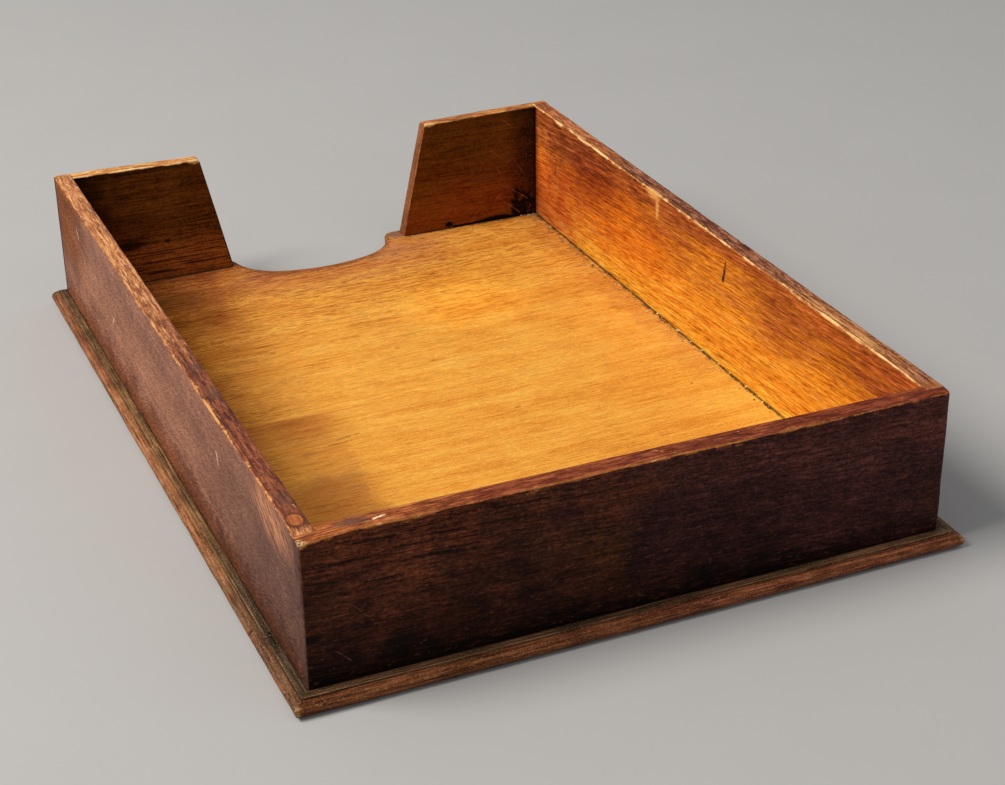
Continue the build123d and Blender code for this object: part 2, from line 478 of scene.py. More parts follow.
# %% Meshes
def make_piece(name, points, faces, squared=None, bare=None, edge=None, sharp=50):
    """A mesh object at the origin, from points in millimetres, with what its finish needs stored on it."""
    mesh = bpy.data.meshes.new(name)
    mesh.from_pydata((np.asarray(points) * MM).tolist(), [], [list(f) for f in faces])
    mesh.polygons.foreach_set("use_smooth", [True] * len(mesh.polygons))
    mesh.set_sharp_from_angle(angle=radians(sharp))
    for label, kind, key, values in (
        ("squared", "FLOAT_VECTOR", "vector", squared),
        ("bare", "FLOAT", "value", bare),
        ("edge", "FLOAT", "value", edge),
    ):
        if values is not None:
            stored = mesh.attributes.new(label, kind, "POINT")
            stored.data.foreach_set(key, np.asarray(values, np.float32).ravel())
    piece = bpy.data.objects.new(name, mesh)
    bpy.context.scene.collection.objects.link(piece)
    return piece


print("a piece starts as points in millimetres")

# %% [markdown]
# ## Sides
#
# A side is a plain board between the rear wall's rebate and the cheek's. Its top arrises are the most
# handled part of the tray, and the right side's top is low at the rear corner, where it was knocked.

# %% Sides
rear_corner = np.array([half_width, rear_high[1]])
top_ease = 0.45               # the tops are worn this much below the squared boards


def lower_top(points, squared):
    """Wears the top down, most at the rear right corner and hardly at the front right one."""
    height = (squared[:, 2] - base_top) / (wall_top - base_top)
    to_rear_corner = np.hypot(squared[:, 0] - rear_corner[0], squared[:, 1] - rear_corner[1])
    to_front_corner = np.hypot(squared[:, 0] - half_width, squared[:, 1] - cheek_low[1])
    worn = top_ease * np.clip(to_front_corner / 90, 0.1, 1)
    worn = worn + 1.1 * np.exp(-((to_rear_corner / 13) ** 2))
    worn = worn + 0.12 * ripple(squared, (45, 45, 200), 3) + 0.05 * ripple(squared, (6, 6, 200), 4)
    points[:, 2] -= np.clip(worn, 0, None) * height**2


def wear_board(points, squared, inner, outer, seed, joints=()):
    """Rounds and chips a wall's two top arrises, eases the rest, and gives the bare wood's mask."""
    top = (2, wall_top, 1)
    wander = ripple(squared, (28, 28, 400), seed) + 0.6 * ripple(squared, (7, 7, 400), seed + 1)
    bare = np.zeros(len(points))
    bare += chip_arris(points, squared, (inner, top), 1.4, 0.7, 0.42, seed + 2)
    bare += chip_arris(points, squared, (outer, top), 1.5, 0.7, 0.44, seed + 4)
    round_arris(points, (inner, top), np.clip(0.75 + 0.35 * wander, 0.35, 1.6))
    round_arris(points, (outer, top), np.clip(1.0 - 0.4 * wander, 0.4, 1.9))
    for planes in joints:
        round_arris(points, planes, np.full(len(points), joint_ease))
    lower_top(points, squared)
    dents = 0.07 * np.clip(ripple(squared, (9, 9, 5), seed + 6) - 0.1, 0, None)
    across = inner[0]
    points[:, across] += np.where(squared[:, across] == outer[1], -outer[2] * dents, 0)
    return bare


def make_side(hand, name):
    """One side board: hand is 1 for the tray's right and -1 for its left."""
    low, high = corners(f"side_{name}")
    cuts = [
        near_both_ends(low[0], high[0], arris_lines[:-1], 1.6),
        near_both_ends(low[1], high[1], [0, 0.15, 0.5], 0.9),
        wall_heights(5, 3.5, arris_lines + [3.6]),
    ]
    squared, quads = block_surface(cuts)
    points = squared.copy()
    inner = (0, hand * inner_half_width, -hand)
    outer = (0, hand * half_width, hand)
    rear_end = (1, high[1], 1)
    front_end = (1, low[1], -1)
    top = (2, wall_top, 1)
    foot = (2, base_top, -1)
    joints = [(rear_end, top), (front_end, top), (rear_end, outer), (front_end, outer), (outer, foot)]
    bare = wear_board(points, squared, inner, outer, 10 + 20 * (hand > 0), joints)
    piece = make_piece(f"worn_side_{name}", points, quads, squared, bare)
    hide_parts(f"side_{name}")
    return piece


sides = {name: make_side(hand, name) for name, hand in (("left", -1), ("right", 1))}
for name, piece in sides.items():
    print(f"{name} side: {len(piece.data.vertices)} points")

# %% [markdown]
# ## Rear wall
#
# The rear wall laps over both sides' ends. From the side only the lap's end grain shows. The board is cut
# like the others, with two planes at nearly the same place for each step, and thinned beyond them.

# %% Rear wall
rear_lap = rear_high[1] - side_high[1]
rear_thickness = rear_high[1] - rear_low[1]


def lap_planes(start, end, step_places, step):
    """Planes along a lapped board, with a doubled one at each step of its thickness."""
    near = [0, 0.15, 0.4, 0.75, 1.15, 1.6, 2.15, 2.8, 3.5]
    places = list(near_both_ends(start, end, near, step))
    kept = [p for p in places if min(abs(p - s) for s in step_places) > 0.3]
    doubled = [s + d for s in step_places for d in (-0.005, 0.005)]
    return np.array(sorted(kept + doubled))


def make_rear_wall():
    steps = [-inner_half_width, inner_half_width]
    cuts = [
        lap_planes(-half_width, half_width, steps, 0.9),
        near_both_ends(rear_low[1], rear_high[1], arris_lines[:-1], 1.6),
        wall_heights(5, 3.5, arris_lines + [3.6]),
    ]
    squared, quads = block_surface(cuts)
    lapped = np.abs(squared[:, 0]) > inner_half_width
    depth = rear_high[1] - squared[:, 1]
    squared[:, 1] = np.where(lapped, rear_high[1] - depth * rear_lap / rear_thickness, squared[:, 1])
    points = squared.copy()
    inner = (1, rear_low[1], -1)
    outer = (1, rear_high[1], 1)
    lap_face = (1, side_high[1], -1)
    top = (2, wall_top, 1)
    joints = [(lap_face, top), (outer, (2, base_top, -1))]
    bare = wear_board(points, squared, inner, outer, 50, joints)
    for end, upright_radius, top_radius in ((-1, 3.2, 2.2), (1, 1.4, 1.0)):
        end_face = (0, end * half_width, end)
        wander = 1 + 0.2 * ripple(squared, (20, 20, 12), 57 + end)
        round_arris(points, (end_face, outer), upright_radius * wander)
        round_arris(points, (end_face, top), top_radius * wander)
        round_arris(points, (end_face, lap_face), np.full(len(points), joint_ease))
    tip = (half_width, rear_high[1], wall_top - 1.5)
    bare += scoop(points, tip, (5, 3.2, 3), 0.6, (-0.4, -0.6, -0.7))
    piece = make_piece("worn_rear_wall", points, quads, squared, bare)
    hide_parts("rear_wall")
    return piece


rear_wall = make_rear_wall()
print("rear wall:", len(rear_wall.data.vertices), "points, lap", round(rear_lap, 2), "mm")

# %% [markdown]
# ## Front cheeks
#
# Each cheek is a board with one sloped end, so its planes are sheared: a plane near the side stands
# upright, and the last one leans as the sawn end does.

# %% Cheeks
cheek_top_width = 71.0        # along the cheek's top, from the tray's outer face
cheek_lap = side_low[1] - cheek_low[1]
cheek_thickness = cheek_high[1] - cheek_low[1]
cheek_foot_width = cheek_high[0] - cheek_low[0]


def make_cheek(hand, name):
    end = cheek_foot_width
    step = half_width - inner_half_width
    cuts = [
        lap_planes(0.0, end, [step], 0.8),
        near_both_ends(cheek_low[1], cheek_high[1], arris_lines[:-1], 1.4),
        wall_heights(4, 2.0, arris_lines),
    ]
    squared, quads = block_surface(cuts)
    lapped = squared[:, 0] < step
    depth = squared[:, 1] - cheek_low[1]
    squared[:, 1] = np.where(lapped, cheek_low[1] + depth * cheek_lap / cheek_thickness, squared[:, 1])
    points = squared.copy()
    inner = (1, cheek_high[1], 1)
    outer = (1, cheek_low[1], -1)
    lap_face = (1, side_low[1], 1)
    top = (2, wall_top, 1)
    sawn_end = (0, end, 1)
    side_end = (0, 0.0, -1)
    places = squared.copy()
    places[:, 0] = hand * (half_width - squared[:, 0])
    wander = ripple(places, (9, 9, 9), 71 + hand)
    for planes, radius in (
        ((sawn_end, inner), 0.5 + 0.25 * wander),
        ((sawn_end, outer), 0.6 + 0.25 * wander),
        ((side_end, outer), 1.1 + 0.3 * wander),
        ((sawn_end, top), 1.6 + 0.4 * wander),
        ((side_end, top), 0.9 + 0.2 * wander),
        ((side_end, lap_face), joint_ease + 0 * wander),
    ):
        round_arris(points, planes, radius)
    height = (squared[:, 2] - base_top) / (wall_top - base_top)
    lean = (cheek_foot_width - cheek_top_width) * height
    points[:, 0] -= lean * np.clip((points[:, 0] - step) / (end - step), 0, 1)
    points[:, 0] = hand * (half_width - points[:, 0])
    joints = [(lap_face, top), (outer, (2, base_top, -1))]
    bare = wear_board(points, places, inner, outer, 80 + 10 * hand, joints)
    droop = (0.5 if hand > 0 else 0.9) * (np.clip(squared[:, 0] / cheek_top_width, 0, 1) ** 2) * height**2
    points[:, 2] -= droop
    if hand > 0:
        quads = quads[:, ::-1]
    piece = make_piece(f"worn_cheek_{name}", points, quads, places, bare)
    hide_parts(f"cheek_{name}")
    return piece


cheeks = {name: make_cheek(hand, name) for name, hand in (("left", -1), ("right", 1))}
print("cheeks:", [len(piece.data.vertices) for piece in cheeks.values()], "points")

# %% [markdown]
# ## Base boards
#
# The base is two thin boards glued edge to edge, with a moulding on the sides and the rear: a flat lip, a
# small step called a quirk, and a round that tucks under. Top and underside depend only on the distance
# in from the nearest moulded edge, so the mouldings meet in a mitre by themselves.

# %% Moulding heights
lip_width = 3.8               # flat border left outside the walls
round_width = overhang - lip_width
quirk_drop = 0.7
round_drop = 3.1              # from the base's top to the fullest point of the round
round_middle = base_top - round_drop


def moulded_top(distance):
    """Height of the base's upper surface, at a distance in from its moulded edge."""
    along = np.clip((round_width - distance) / round_width, 0, 1)
    on_round = round_middle + (base_top - quirk_drop - round_middle) * np.sqrt(1 - along**2)
    return np.interp(distance - round_width, [0, 0.14, 0.45], [0, 0.9, 1]) * (base_top - on_round) + on_round


def moulded_foot(distance):
    """Height of the base's underside, at a distance in from its moulded edge."""
    along = np.clip(round_middle - distance, 0, None)
    return round_middle - np.sqrt(np.clip(round_middle**2 - along**2, 0, None))


round_angles = np.radians(np.arange(0, 91, 7.5))
moulding_lines = list(round_width * (1 - np.cos(round_angles)))
moulding_lines += [round_width + d for d in (0.07, 0.14, 0.27, 0.45, 0.9, 1.6, 2.4, 3.3)]
moulding_lines += [overhang + d for d in (0.1, 0.8, 2.5, 5, 7.6, 8.2, 9.2)]
print("moulding heights at 0, 2, 4 mm:", np.round(moulded_top(np.array([0.0, 2, 4])), 2))

# %% [markdown]
# Each small square of the two sheets is one face, or two triangles split along the diagonal that falls
# least, so that the moulding stays crisp. A skirt of faces joins the sheets round the rim.

# %% Base board meshes
def two_sheets(across, along, top, foot):
    """Points and faces of a board given as a top and an underside over the same net of places."""
    columns, rows = across.shape
    count = columns * rows
    points = np.concatenate([
        np.stack([across, along, top], axis=-1).reshape(-1, 3),
        np.stack([across, along, foot], axis=-1).reshape(-1, 3),
    ])
    number = np.arange(count).reshape(columns, rows)
    faces = []
    for i in range(columns - 1):
        for j in range(rows - 1):
            a, b, c, d = number[i, j], number[i + 1, j], number[i + 1, j + 1], number[i, j + 1]
            for height, offset in ((top, 0), (foot, count)):
                fall_ac = abs(height[i, j] - height[i + 1, j + 1])
                fall_bd = abs(height[i + 1, j] - height[i, j + 1])
                twist = height[i, j] + height[i + 1, j + 1] - height[i + 1, j] - height[i, j + 1]
                if abs(twist) < 1e-3:
                    found = [(a, b, c, d)]
                elif fall_ac > fall_bd:
                    found = [(a, b, c), (a, c, d)]
                else:
                    found = [(a, b, d), (b, c, d)]
                for face in found:
                    turned = face if offset == 0 else face[::-1]
                    faces.append(tuple(int(n) + offset for n in turned))
    rim = np.concatenate([number[:, 0], number[-1, 1:], number[::-1, -1][1:], number[0, ::-1][1:]])
    for first, second in zip(rim[:-1], rim[1:]):
        faces.append((int(first) + count, int(second) + count, int(second), int(first)))
    return points, faces


def close_seams(piece, distance=0.004):
    """Merges points that lie together, and drops the faces that this folds flat."""
    built = bmesh.new()
    built.from_mesh(piece.data)
    bmesh.ops.remove_doubles(built, verts=built.verts, dist=distance * MM)
    bmesh.ops.dissolve_degenerate(built, edges=built.edges, dist=distance * MM)
    built.to_mesh(piece.data)
    built.free()


print("the moulding is cut at", len(moulding_lines), "distances")

# %% [markdown]
# The wear of the base is a few knocks on the round and a gentle hollow in the floor, always inwards. The
# two boards meet in a fine line, because both are eased along the seam.

# %% Rear base board
def weather_base(across, along, top):
    """Dents the moulding and hollows the floor a little, always inside the squared board."""
    places = np.stack([across, along, top], axis=-1).reshape(-1, 3)
    edge = half_base - np.abs(places[:, 0])
    edge = np.minimum(edge, base_rear - places[:, 1])
    on_round = np.clip(1 - edge / (round_width + 0.6), 0, 1)
    knocks = 0.16 + 0.16 * ripple(places, (16, 16, 40), 91) + 0.12 * ripple(places, (3, 3, 9), 92)
    inwards = np.clip(knocks, 0, 0.6) * on_round
    shape = across.shape
    across -= (np.sign(places[:, 0]) * inwards * (half_base - np.abs(places[:, 0]) < 6)).reshape(shape)
    along -= (inwards * (base_rear - places[:, 1] < 6)).reshape(shape)
    inside = np.clip((edge - round_width) / 0.6, 0, 1)
    hollow = 0.05 + 0.05 * ripple(places, (70, 30, 40), 93) + 0.02 * ripple(places, (30, 2.5, 9), 94)
    top -= (np.clip(hollow, 0, None) * inside).reshape(shape)


seam_ease = 0.1               # both boards are eased this much along the seam
base_columns = near_both_ends(-half_base, half_base, moulding_lines, 1.7)


def make_rear_board():
    rows = np.concatenate([
        [seam_y, seam_y + 0.08, seam_y + 0.2, seam_y + 0.7],
        even(seam_y + 1.7, base_rear - moulding_lines[-1], 1.7),
        base_rear - np.array(moulding_lines[::-1][1:]),
    ])
    across, along = np.meshgrid(base_columns, rows, indexing="ij")
    distance = np.minimum(half_base - np.abs(across), base_rear - along)
    top = moulded_top(distance)
    foot = moulded_foot(distance)
    top -= seam_ease * np.clip(1 - (along - seam_y) / 0.15, 0, 1)
    top = np.maximum(top, foot)
    weather_base(across, along, top)
    points, faces = two_sheets(across, along, np.maximum(top, foot), foot)
    piece = make_piece("worn_base_rear", points, faces, sharp=28)
    close_seams(piece)
    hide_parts("base_rear_board")
    return piece


rear_board = make_rear_board()
print("rear base board:", len(rear_board.data.vertices), "points")

# %% [markdown]
# The front board has the finger cut-out: a flat middle arc, two tighter shoulders and two small outward
# corners. Each arc starts in the direction in which the last one ends, and the shoulders' radius follows
# from that.

# %% Cut-out
cutout_half_width = 41.0
cutout_depth = 28.0
crown_radius = 72.0
cutout_corner_radius = 5.5
cutout_middle = 3.0           # the cut-out's middle is this far to the right of the tray's
front_round = 1.2
fan_margin = 7.0              # how far past the cut-out's corners the net still fans out

shoulder_radius = (
    (2 * crown_radius * cutout_depth - cutout_half_width**2 - cutout_depth**2)
    / (2 * (crown_radius - cutout_half_width))
)
shoulder_u = cutout_half_width - shoulder_radius
crown_turn = atan2(shoulder_u, crown_radius - cutout_depth)
corner_u = shoulder_u + sqrt(shoulder_radius**2 + 2 * shoulder_radius * cutout_corner_radius)
shoulder_turn = atan2(corner_u - shoulder_u, cutout_corner_radius)


def cutout_edge(length):
    """Place and inward direction on the right half of the edge, a length along it from the middle."""
    crown_length = crown_radius * crown_turn
    shoulder_length = shoulder_radius * (shoulder_turn - crown_turn)
    corner_length = cutout_corner_radius * shoulder_turn
    if length < crown_length:
        turned = length / crown_radius
        out_u, out_v = sin(turned), cos(turned)
        return crown_radius * out_u, cutout_depth - crown_radius * (1 - out_v), out_u, out_v
    length -= crown_length
    if length < shoulder_length:
        turned = crown_turn + length / shoulder_radius
        out_u, out_v = sin(turned), cos(turned)
        return shoulder_u + shoulder_radius * out_u, shoulder_radius * out_v, out_u, out_v
    length -= shoulder_length
    if length < corner_length:
        turned = shoulder_turn - length / cutout_corner_radius
        out_u, out_v = sin(turned), cos(turned)
        return corner_u - cutout_corner_radius * out_u, cutout_corner_radius * (1 - out_v), out_u, out_v
    return corner_u + length - corner_length, 0.0, 0.0, 1.0


edge_length = crown_radius * crown_turn + shoulder_radius * (shoulder_turn - crown_turn)
edge_length += cutout_corner_radius * shoulder_turn + fan_margin
fan_reach = corner_u + fan_margin
print(f"cut-out: shoulders {shoulder_radius:.1f} mm, edge {2 * edge_length:.1f} mm long")

# %% [markdown]
# The net of points is straight at the back and bends towards the cut-out: each line of it meets the edge
# the same share of the way along it. The last points go over the eased nose.

# %% Lines of the front board's net
far_from_edge = 99.0
nose_angles = np.radians([22.5, 45, 67.5, 90])
nose_in = front_round * (1 - np.sin(nose_angles))
nose_drop = front_round * (1 - np.cos(nose_angles))
fan_shares = 1 - (1 - np.linspace(0, 1, 24)[1:]) ** 1.25
straight_end = base_front + cutout_depth + 14
straight_rows = np.concatenate([
    [seam_y, seam_y - 0.08, seam_y - 0.2, seam_y - 0.7],
    even(straight_end, seam_y - 1.7, 1.9)[::-1],
])


def front_columns():
    """Where the net's lines start at the back, closest together at the moulding and the cut-out."""
    fan_start, fan_end = cutout_middle - fan_reach, cutout_middle + fan_reach
    outer = np.array(moulding_lines)
    left = [-half_base + outer[:-1], even(-half_base + outer[-1], fan_start, 1.9)]
    right = [even(fan_end, half_base - outer[-1], 1.9), half_base - outer[:-1][::-1]]
    return np.concatenate([*left, even(fan_start, fan_end, 1.15)[1:-1], *right])


def net_line(x):
    """One line of the net, from the seam to the front: x, y, drop, and distance to the cut-out."""
    u = x - cutout_middle
    edge_at = np.array([x, base_front])
    inwards = np.array([0.0, 1.0])
    if abs(u) < fan_reach:
        edge_u, edge_v, in_u, in_v = cutout_edge(abs(u) / fan_reach * edge_length)
        side = -1 if u < 0 else 1
        edge_at = np.array([cutout_middle + side * edge_u, base_front + edge_v])
        inwards = np.array([side * in_u, in_v])
    eased = edge_at + inwards * front_round
    fan = eased + (np.array([x, straight_end]) - eased) * (1 - fan_shares[:, None])
    nose = edge_at + inwards * nose_in[:, None]
    across = np.concatenate([np.full(len(straight_rows), x), fan[:, 0], nose[:, 0]])
    along = np.concatenate([straight_rows, fan[:, 1], nose[:, 1]])
    drop = np.concatenate([np.zeros(len(straight_rows) + len(fan)), nose_drop])
    to_edge = np.hypot(across - edge_at[0], along - edge_at[1])
    return across, along, drop, np.where(abs(u) < corner_u, to_edge, far_from_edge)


net_lines = [net_line(x) for x in front_columns()]
print(len(net_lines), "lines of", len(net_lines[0][0]), "points")

# %% [markdown]
# The heights come from the moulding, as for the rear board, and from the nose where that is lower.

# %% Front base board
def make_front_board():
    across, along, fall, from_edge = (np.array(rows) for rows in zip(*net_lines))
    distance = half_base - np.abs(across)
    foot = np.maximum(moulded_foot(distance), fall)
    top = np.minimum(moulded_top(distance), base_top - fall)
    top -= seam_ease * np.clip(1 - (seam_y - along) / 0.15, 0, 1)
    top = np.maximum(top, foot)
    weather_base(across, along, top)
    top = np.maximum(top, foot)
    points, faces = two_sheets(across[:, ::-1], along[:, ::-1], top[:, ::-1], foot[:, ::-1])
    edge = np.tile(from_edge[:, ::-1].ravel(), 2)
    piece = make_piece("worn_base_front", points, faces, edge=edge, sharp=28)
    close_seams(piece)
    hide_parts("base_front_board")
    return piece


front_board = make_front_board()
print("front base board:", len(front_board.data.vertices), "points")

# %% [markdown]
# Wood screws join the boards from below, with their heads in countersunk openings. A Boolean modifier
# cuts these with a cone a little larger than the head, as a countersink bit would. The cone is turned a
# little, so that none of its corners falls on a line of the board's mesh.

# %% Screw openings
head_reach = 2.65             # radius of the opening round the head
shank_reach = 1.35
head_depth = (0.6, 2.0)       # heights at which its cone starts and ends
cone_turn = 0.3               # in steps of the cone's sides


def screw_nodes():
    """The names of the CAD screws."""
    rows = [("rear", 3), ("side_left", 4), ("side_right", 4), ("cheek_left", 2), ("cheek_right", 2)]
    return [f"screw_{row}_{number + 1}" for row, count in rows for number in range(count)]


def screw_places():
    """Where the screws stand, as x and y in millimetres."""
    places = []
    for node in screw_nodes():
        low, high = corners(node)
        places.append((low + high)[:2] / 2)
    return places


def countersink(board, places, steps=32):
    """Cuts a countersunk opening into the board's underside at each place."""
    profile = [(head_reach, -0.5), (head_reach, head_depth[0]), (shank_reach, head_depth[1])]
    points, faces = [], []
    for x, y in places:
        start = len(points)
        for reach, height in profile:
            for step in range(steps):
                angle = 2 * pi * (step + cone_turn) / steps
                points.append((x + reach * cos(angle), y + reach * sin(angle), height))
        for level in range(len(profile) - 1):
            for step in range(steps):
                a = start + level * steps + step
                b = start + level * steps + (step + 1) % steps
                faces.append((a, b, b + steps, a + steps))
        faces.append(tuple(start + step for step in range(steps))[::-1])
        faces.append(tuple(start + 2 * steps + step for step in range(steps)))
    cutter = make_piece("countersink", np.array(points), faces)
    modifier = board.modifiers.new("openings", "BOOLEAN")
    modifier.operation = "DIFFERENCE"
    modifier.solver = "EXACT"
    modifier.object = cutter
    graph = bpy.context.evaluated_depsgraph_get()
    cut = bpy.data.meshes.new_from_object(board.evaluated_get(graph))
    board.modifiers.remove(modifier)
    board.data = cut
    bpy.data.objects.remove(cutter)


places = screw_places()
countersink(rear_board, [p for p in places if p[1] > seam_y])
countersink(front_board, [p for p in places if p[1] < seam_y])
print(len(places), "screw openings,", len(rear_board.data.polygons), "faces on the rear board")

# %% [markdown]
# ## Wood as nodes
#
# Old mahogany is brown three times over: its own fibres and pores, the polish that darkened them, and
# the wear that took the polish off again. Each board gets noise stretched along its own grain, from fine
# pores to bands as wide as a finger. A picture of wood would repeat and stop at an arris. Noise doesn't.

# %% Fibres
class Wood(Finish):
    """The finish of one board, with the grain that all its faces share."""

    def __init__(self, name, grain, seed, tilt=0.0, specular=0.12, fine=0.8, length=18.0):
        super().__init__(name, specular)
        self.seed = seed
        self.here = self.place()
        self.x, self.y, self.z = self.split(self.here)
        axes = dict(zip("xyz", (self.x, self.y, self.z)))
        along, across, through = (axes[letter] for letter in grain)
        self.grain = self.join(along, across - tilt * along, through)
        self.lengthways = self.join(along, across, through)
        self.fibre = self.cloud(self.grain, (length, fine), 3, 0.7).rise(0.34, 0.66)
        self.streak = self.cloud(self.grain, (50, 2.2), 2, 0.65, 0.4, 3).rise(0.36, 0.64)
        self.band = self.cloud(self.grain, (240, 13), 2, 0.5, 0.3, 6).rise(0.35, 0.65)
        pore_size = (8.0, 0.7 * fine, 0.6 * fine)
        self.pore = self.cloud(self.grain, pore_size, 1, 0.6, seed=9).rise(0.56, 0.62)
        self.speck = self.cloud(self.here, 1.3, 1, 0.6, seed=15).rise(0.36, 0.64)
        self.blot = self.cloud(self.here, 22, 3, 0.62, seed=12).rise(0.34, 0.66)
        self.sway = self.blot - 0.5

    def level(self, fibre, streak, band, blot=0.0):
        """The grain as one value from 0 to 1, from its parts in the shares given."""
        return fibre * self.fibre + streak * self.streak + band * self.band + blot * self.blot

    def shades(self, dark, middle, light, level):
        """Three shades of wood, chosen by the grain's level."""
        lower = self.blend(dark, middle, level.rise(0.15, 0.52))
        return self.blend(lower, light, level.rise(0.5, 0.88))

    def glaze(self, colour, coats):
        """Lays several tints over a colour, each with its own share."""
        for by, share in coats:
            colour = self.tint(colour, by, share)
        return colour

    def cover(self, colour, coats):
        """Lays several paints over a colour, each with its own share."""
        for paint, share in coats:
            colour = self.blend(colour, paint, share)
        return colour


print("grain ready: fibre, streak, band, pore, speck and blot")

# %% [markdown]
# A stain is an ellipsoid round a point, and a scratch is all that lies near a line between two points.
# Both are measured from a place that noise has pushed about by up to a millimetre, which makes their
# edges ragged.

# %% Stains and scratches
class MarkedWood(Wood):
    """A board's finish with stains, scratches and fine hairlines that can be laid on it."""

    def __init__(self, name, grain, seed, *looks, **named_looks):
        super().__init__(name, grain, seed, *looks, **named_looks)
        values = {"Vector": self.here, "Scale": 0.8, "Detail": 2.0}
        ragged = self.node("ShaderNodeTexNoise", None, values, 1)
        self.loose = self.shift(self.here, self.scale(ragged, (1.6, 1.6, 1.6)))
        self.loose = self.shift(self.loose, (-0.8, -0.8, -0.8))

    def patch(self, centre, reach, soft=0.6):
        """A ragged spot: 1 within it, fading to 0 at the reach given for x, y and z in millimetres."""
        offset = self.shift(self.loose, tuple(-c for c in centre))
        offset = self.scale(offset, tuple(1 / r for r in reach))
        return self.vectors("LENGTH", offset, output=1).rise(1.0, 1.0 - soft)

    def mark(self, start, end, width):
        """A thin scratch or crack from start to end, ragged and tapering off at its edges."""
        step = np.array(end) - np.array(start)
        offset = self.shift(self.loose, tuple(-c for c in start))
        along = self.vectors("DOT_PRODUCT", offset, tuple(step), output=1)
        settings = {"operation": "MULTIPLY", "use_clamp": True}
        share = self.node("ShaderNodeMath", settings, {0: along, 1: 1 / float(step @ step)})
        nearest = self.vectors("SCALE", tuple(step), Scale=share)
        apart = self.vectors("DISTANCE", offset, nearest, output=1)
        return apart.rise(width, width * 0.35)

    def marks(self, colour, paint, width, ends):
        """Lays several marks of one kind over a colour."""
        for start, end in ends:
            colour = self.blend(colour, paint, self.mark(start, end, width) * (0.55 + 0.45 * self.fibre))
        return colour

    def hairlines(self, size, turn, seed):
        """Fine long scratches: the places where much stretched noise passes through its middle value."""
        values = {"Vector": self.here, "Rotation": turn}
        turned = self.node("ShaderNodeVectorRotate", {"rotation_type": "EULER_XYZ"}, values)
        lines = self.cloud(turned, size, 0, 0.5, seed=seed)
        return abs(lines - 0.5).rise(0.014, 0.003)


def on_face(axis, place, rows):
    """Ends of marks on a squared face: each row is the start's and the end's other two coordinates."""
    ends = []
    for row in rows:
        start, end = list(row[:2]), list(row[2:])
        start.insert(axis, place)
        end.insert(axis, place)
        ends.append((tuple(start), tuple(end)))
    return ends


print("a mark on a face:", on_face(0, 131.0, [(84, 51, 85, 47)]))

# %% [markdown]
# A wall has an inner, an outer and a top face. The stored place before the wear tells which one a point
# is on, and how near it is to an arris. Along an arris the polish is gone in a strip whose width wanders,
# drawn by comparing that width with the distance.

# %% Walls
class Wall(MarkedWood):
    """A wall's finish, which knows how far each spot is from the board's squared faces."""

    def __init__(self, name, grain, seed, inner, outer, tilt=0.0, specular=0.12):
        super().__init__(name, grain, seed, tilt, specular)
        self.edge_fibre = self.cloud(self.lengthways, (20, 0.9), 3, 0.7, seed=18).rise(0.38, 0.62)
        self.squared = self.split(self.stored("squared", "Vector"))
        self.from_inner = abs(self.squared[inner[0]] - inner[1])
        self.from_outer = abs(self.squared[outer[0]] - outer[1])
        self.from_top = wall_top - self.squared[2]
        self.on_outer = self.from_outer.rise(0.3, 0.02)
        self.on_top = self.from_top.rise(0.3, 0.02)
        self.patchy = self.cloud(self.here, 13, 4, 0.7, seed=20).rise(0.38, 0.66)
        self.flecks = self.cloud(self.lengthways, (9, 0.9), 2, 0.7, seed=24)

    def bare_arris(self, face, reach, amount=1.0, even=0.15):
        """Where the polish is gone along an arris, in a strip as wide as the wear is there."""
        from_arris = face.high(self.from_top)
        width = reach * (even + (1 - even) * self.patchy) * (0.5 + 1.0 * self.edge_fibre)
        return (width - from_arris).rise(0.0, 0.25) * amount

    def grime(self, foot=0.9):
        """The dark line in the joint at the board's foot."""
        return (self.z - base_top).rise(foot * 1.6, 0.0)

    def lay(self, inner_colour, outer_colour, top_colour):
        """Puts the three faces' colours together."""
        colour = self.blend(inner_colour, outer_colour, self.on_outer)
        return self.blend(colour, top_colour, self.on_top)

    def relief(self, depth=0.06):
        """Pores and fibres as a height, in millimetres."""
        return depth * (0.8 * self.fibre + 0.4 * self.streak + 0.4 * self.speck - 0.9 * self.pore)

    def raw(self, dark=(0.36, 0.115, 0.032), light=(0.66, 0.3, 0.095)):
        """Wood rubbed free of polish, orange where a little of it is left."""
        return self.blend(dark, light, (0.5 * self.patchy + 0.7 * self.edge_fibre).rise(0.35, 0.95))


def top_colour(wood, dark, middle, light):
    """A wall's top: streaky, with pale flecks where the polish is thin."""
    flakes = wood.cloud(wood.lengthways, (8, 1.6), 3, 0.75, seed=60).rise(0.4, 0.6)
    grit = wood.cloud(wood.here, (1.5, 1.0), 2, 0.7, seed=61).rise(0.36, 0.64)
    level = -0.1 + 0.42 * wood.edge_fibre + 0.27 * flakes + 0.24 * wood.blot + 0.28 * grit
    colour = wood.shades(dark, middle, light, level)
    bright = tuple(min(1.0, 1.5 * c + 0.03) for c in light)
    colour = wood.blend(colour, bright, wood.flecks.rise(0.55, 0.64) * 0.6)
    return wood.tint(colour, (0.36, 0.25, 0.25), wood.flecks.rise(0.44, 0.35) * 0.8)


print("wall kit ready, tops at", round(wall_top, 2), "mm")

# %% [markdown]
# The left side's inner face is the brightest wood of the tray: an orange glow low down, under a band that
# hands have darkened. The grain climbs a little towards the rear. Bands and streaks push the height of
# the border up and down, which makes it ragged.

# %% The sides' inner faces
glow_shades = (0.5, 0.12, 0.008), (0.93, 0.345, 0.024), (1.0, 0.57, 0.075)
hand_darkened_shades = (0.12, 0.026, 0.007), (0.38, 0.094, 0.019), (0.76, 0.24, 0.05)
joint_dirt = (0.03, 0.016, 0.007)


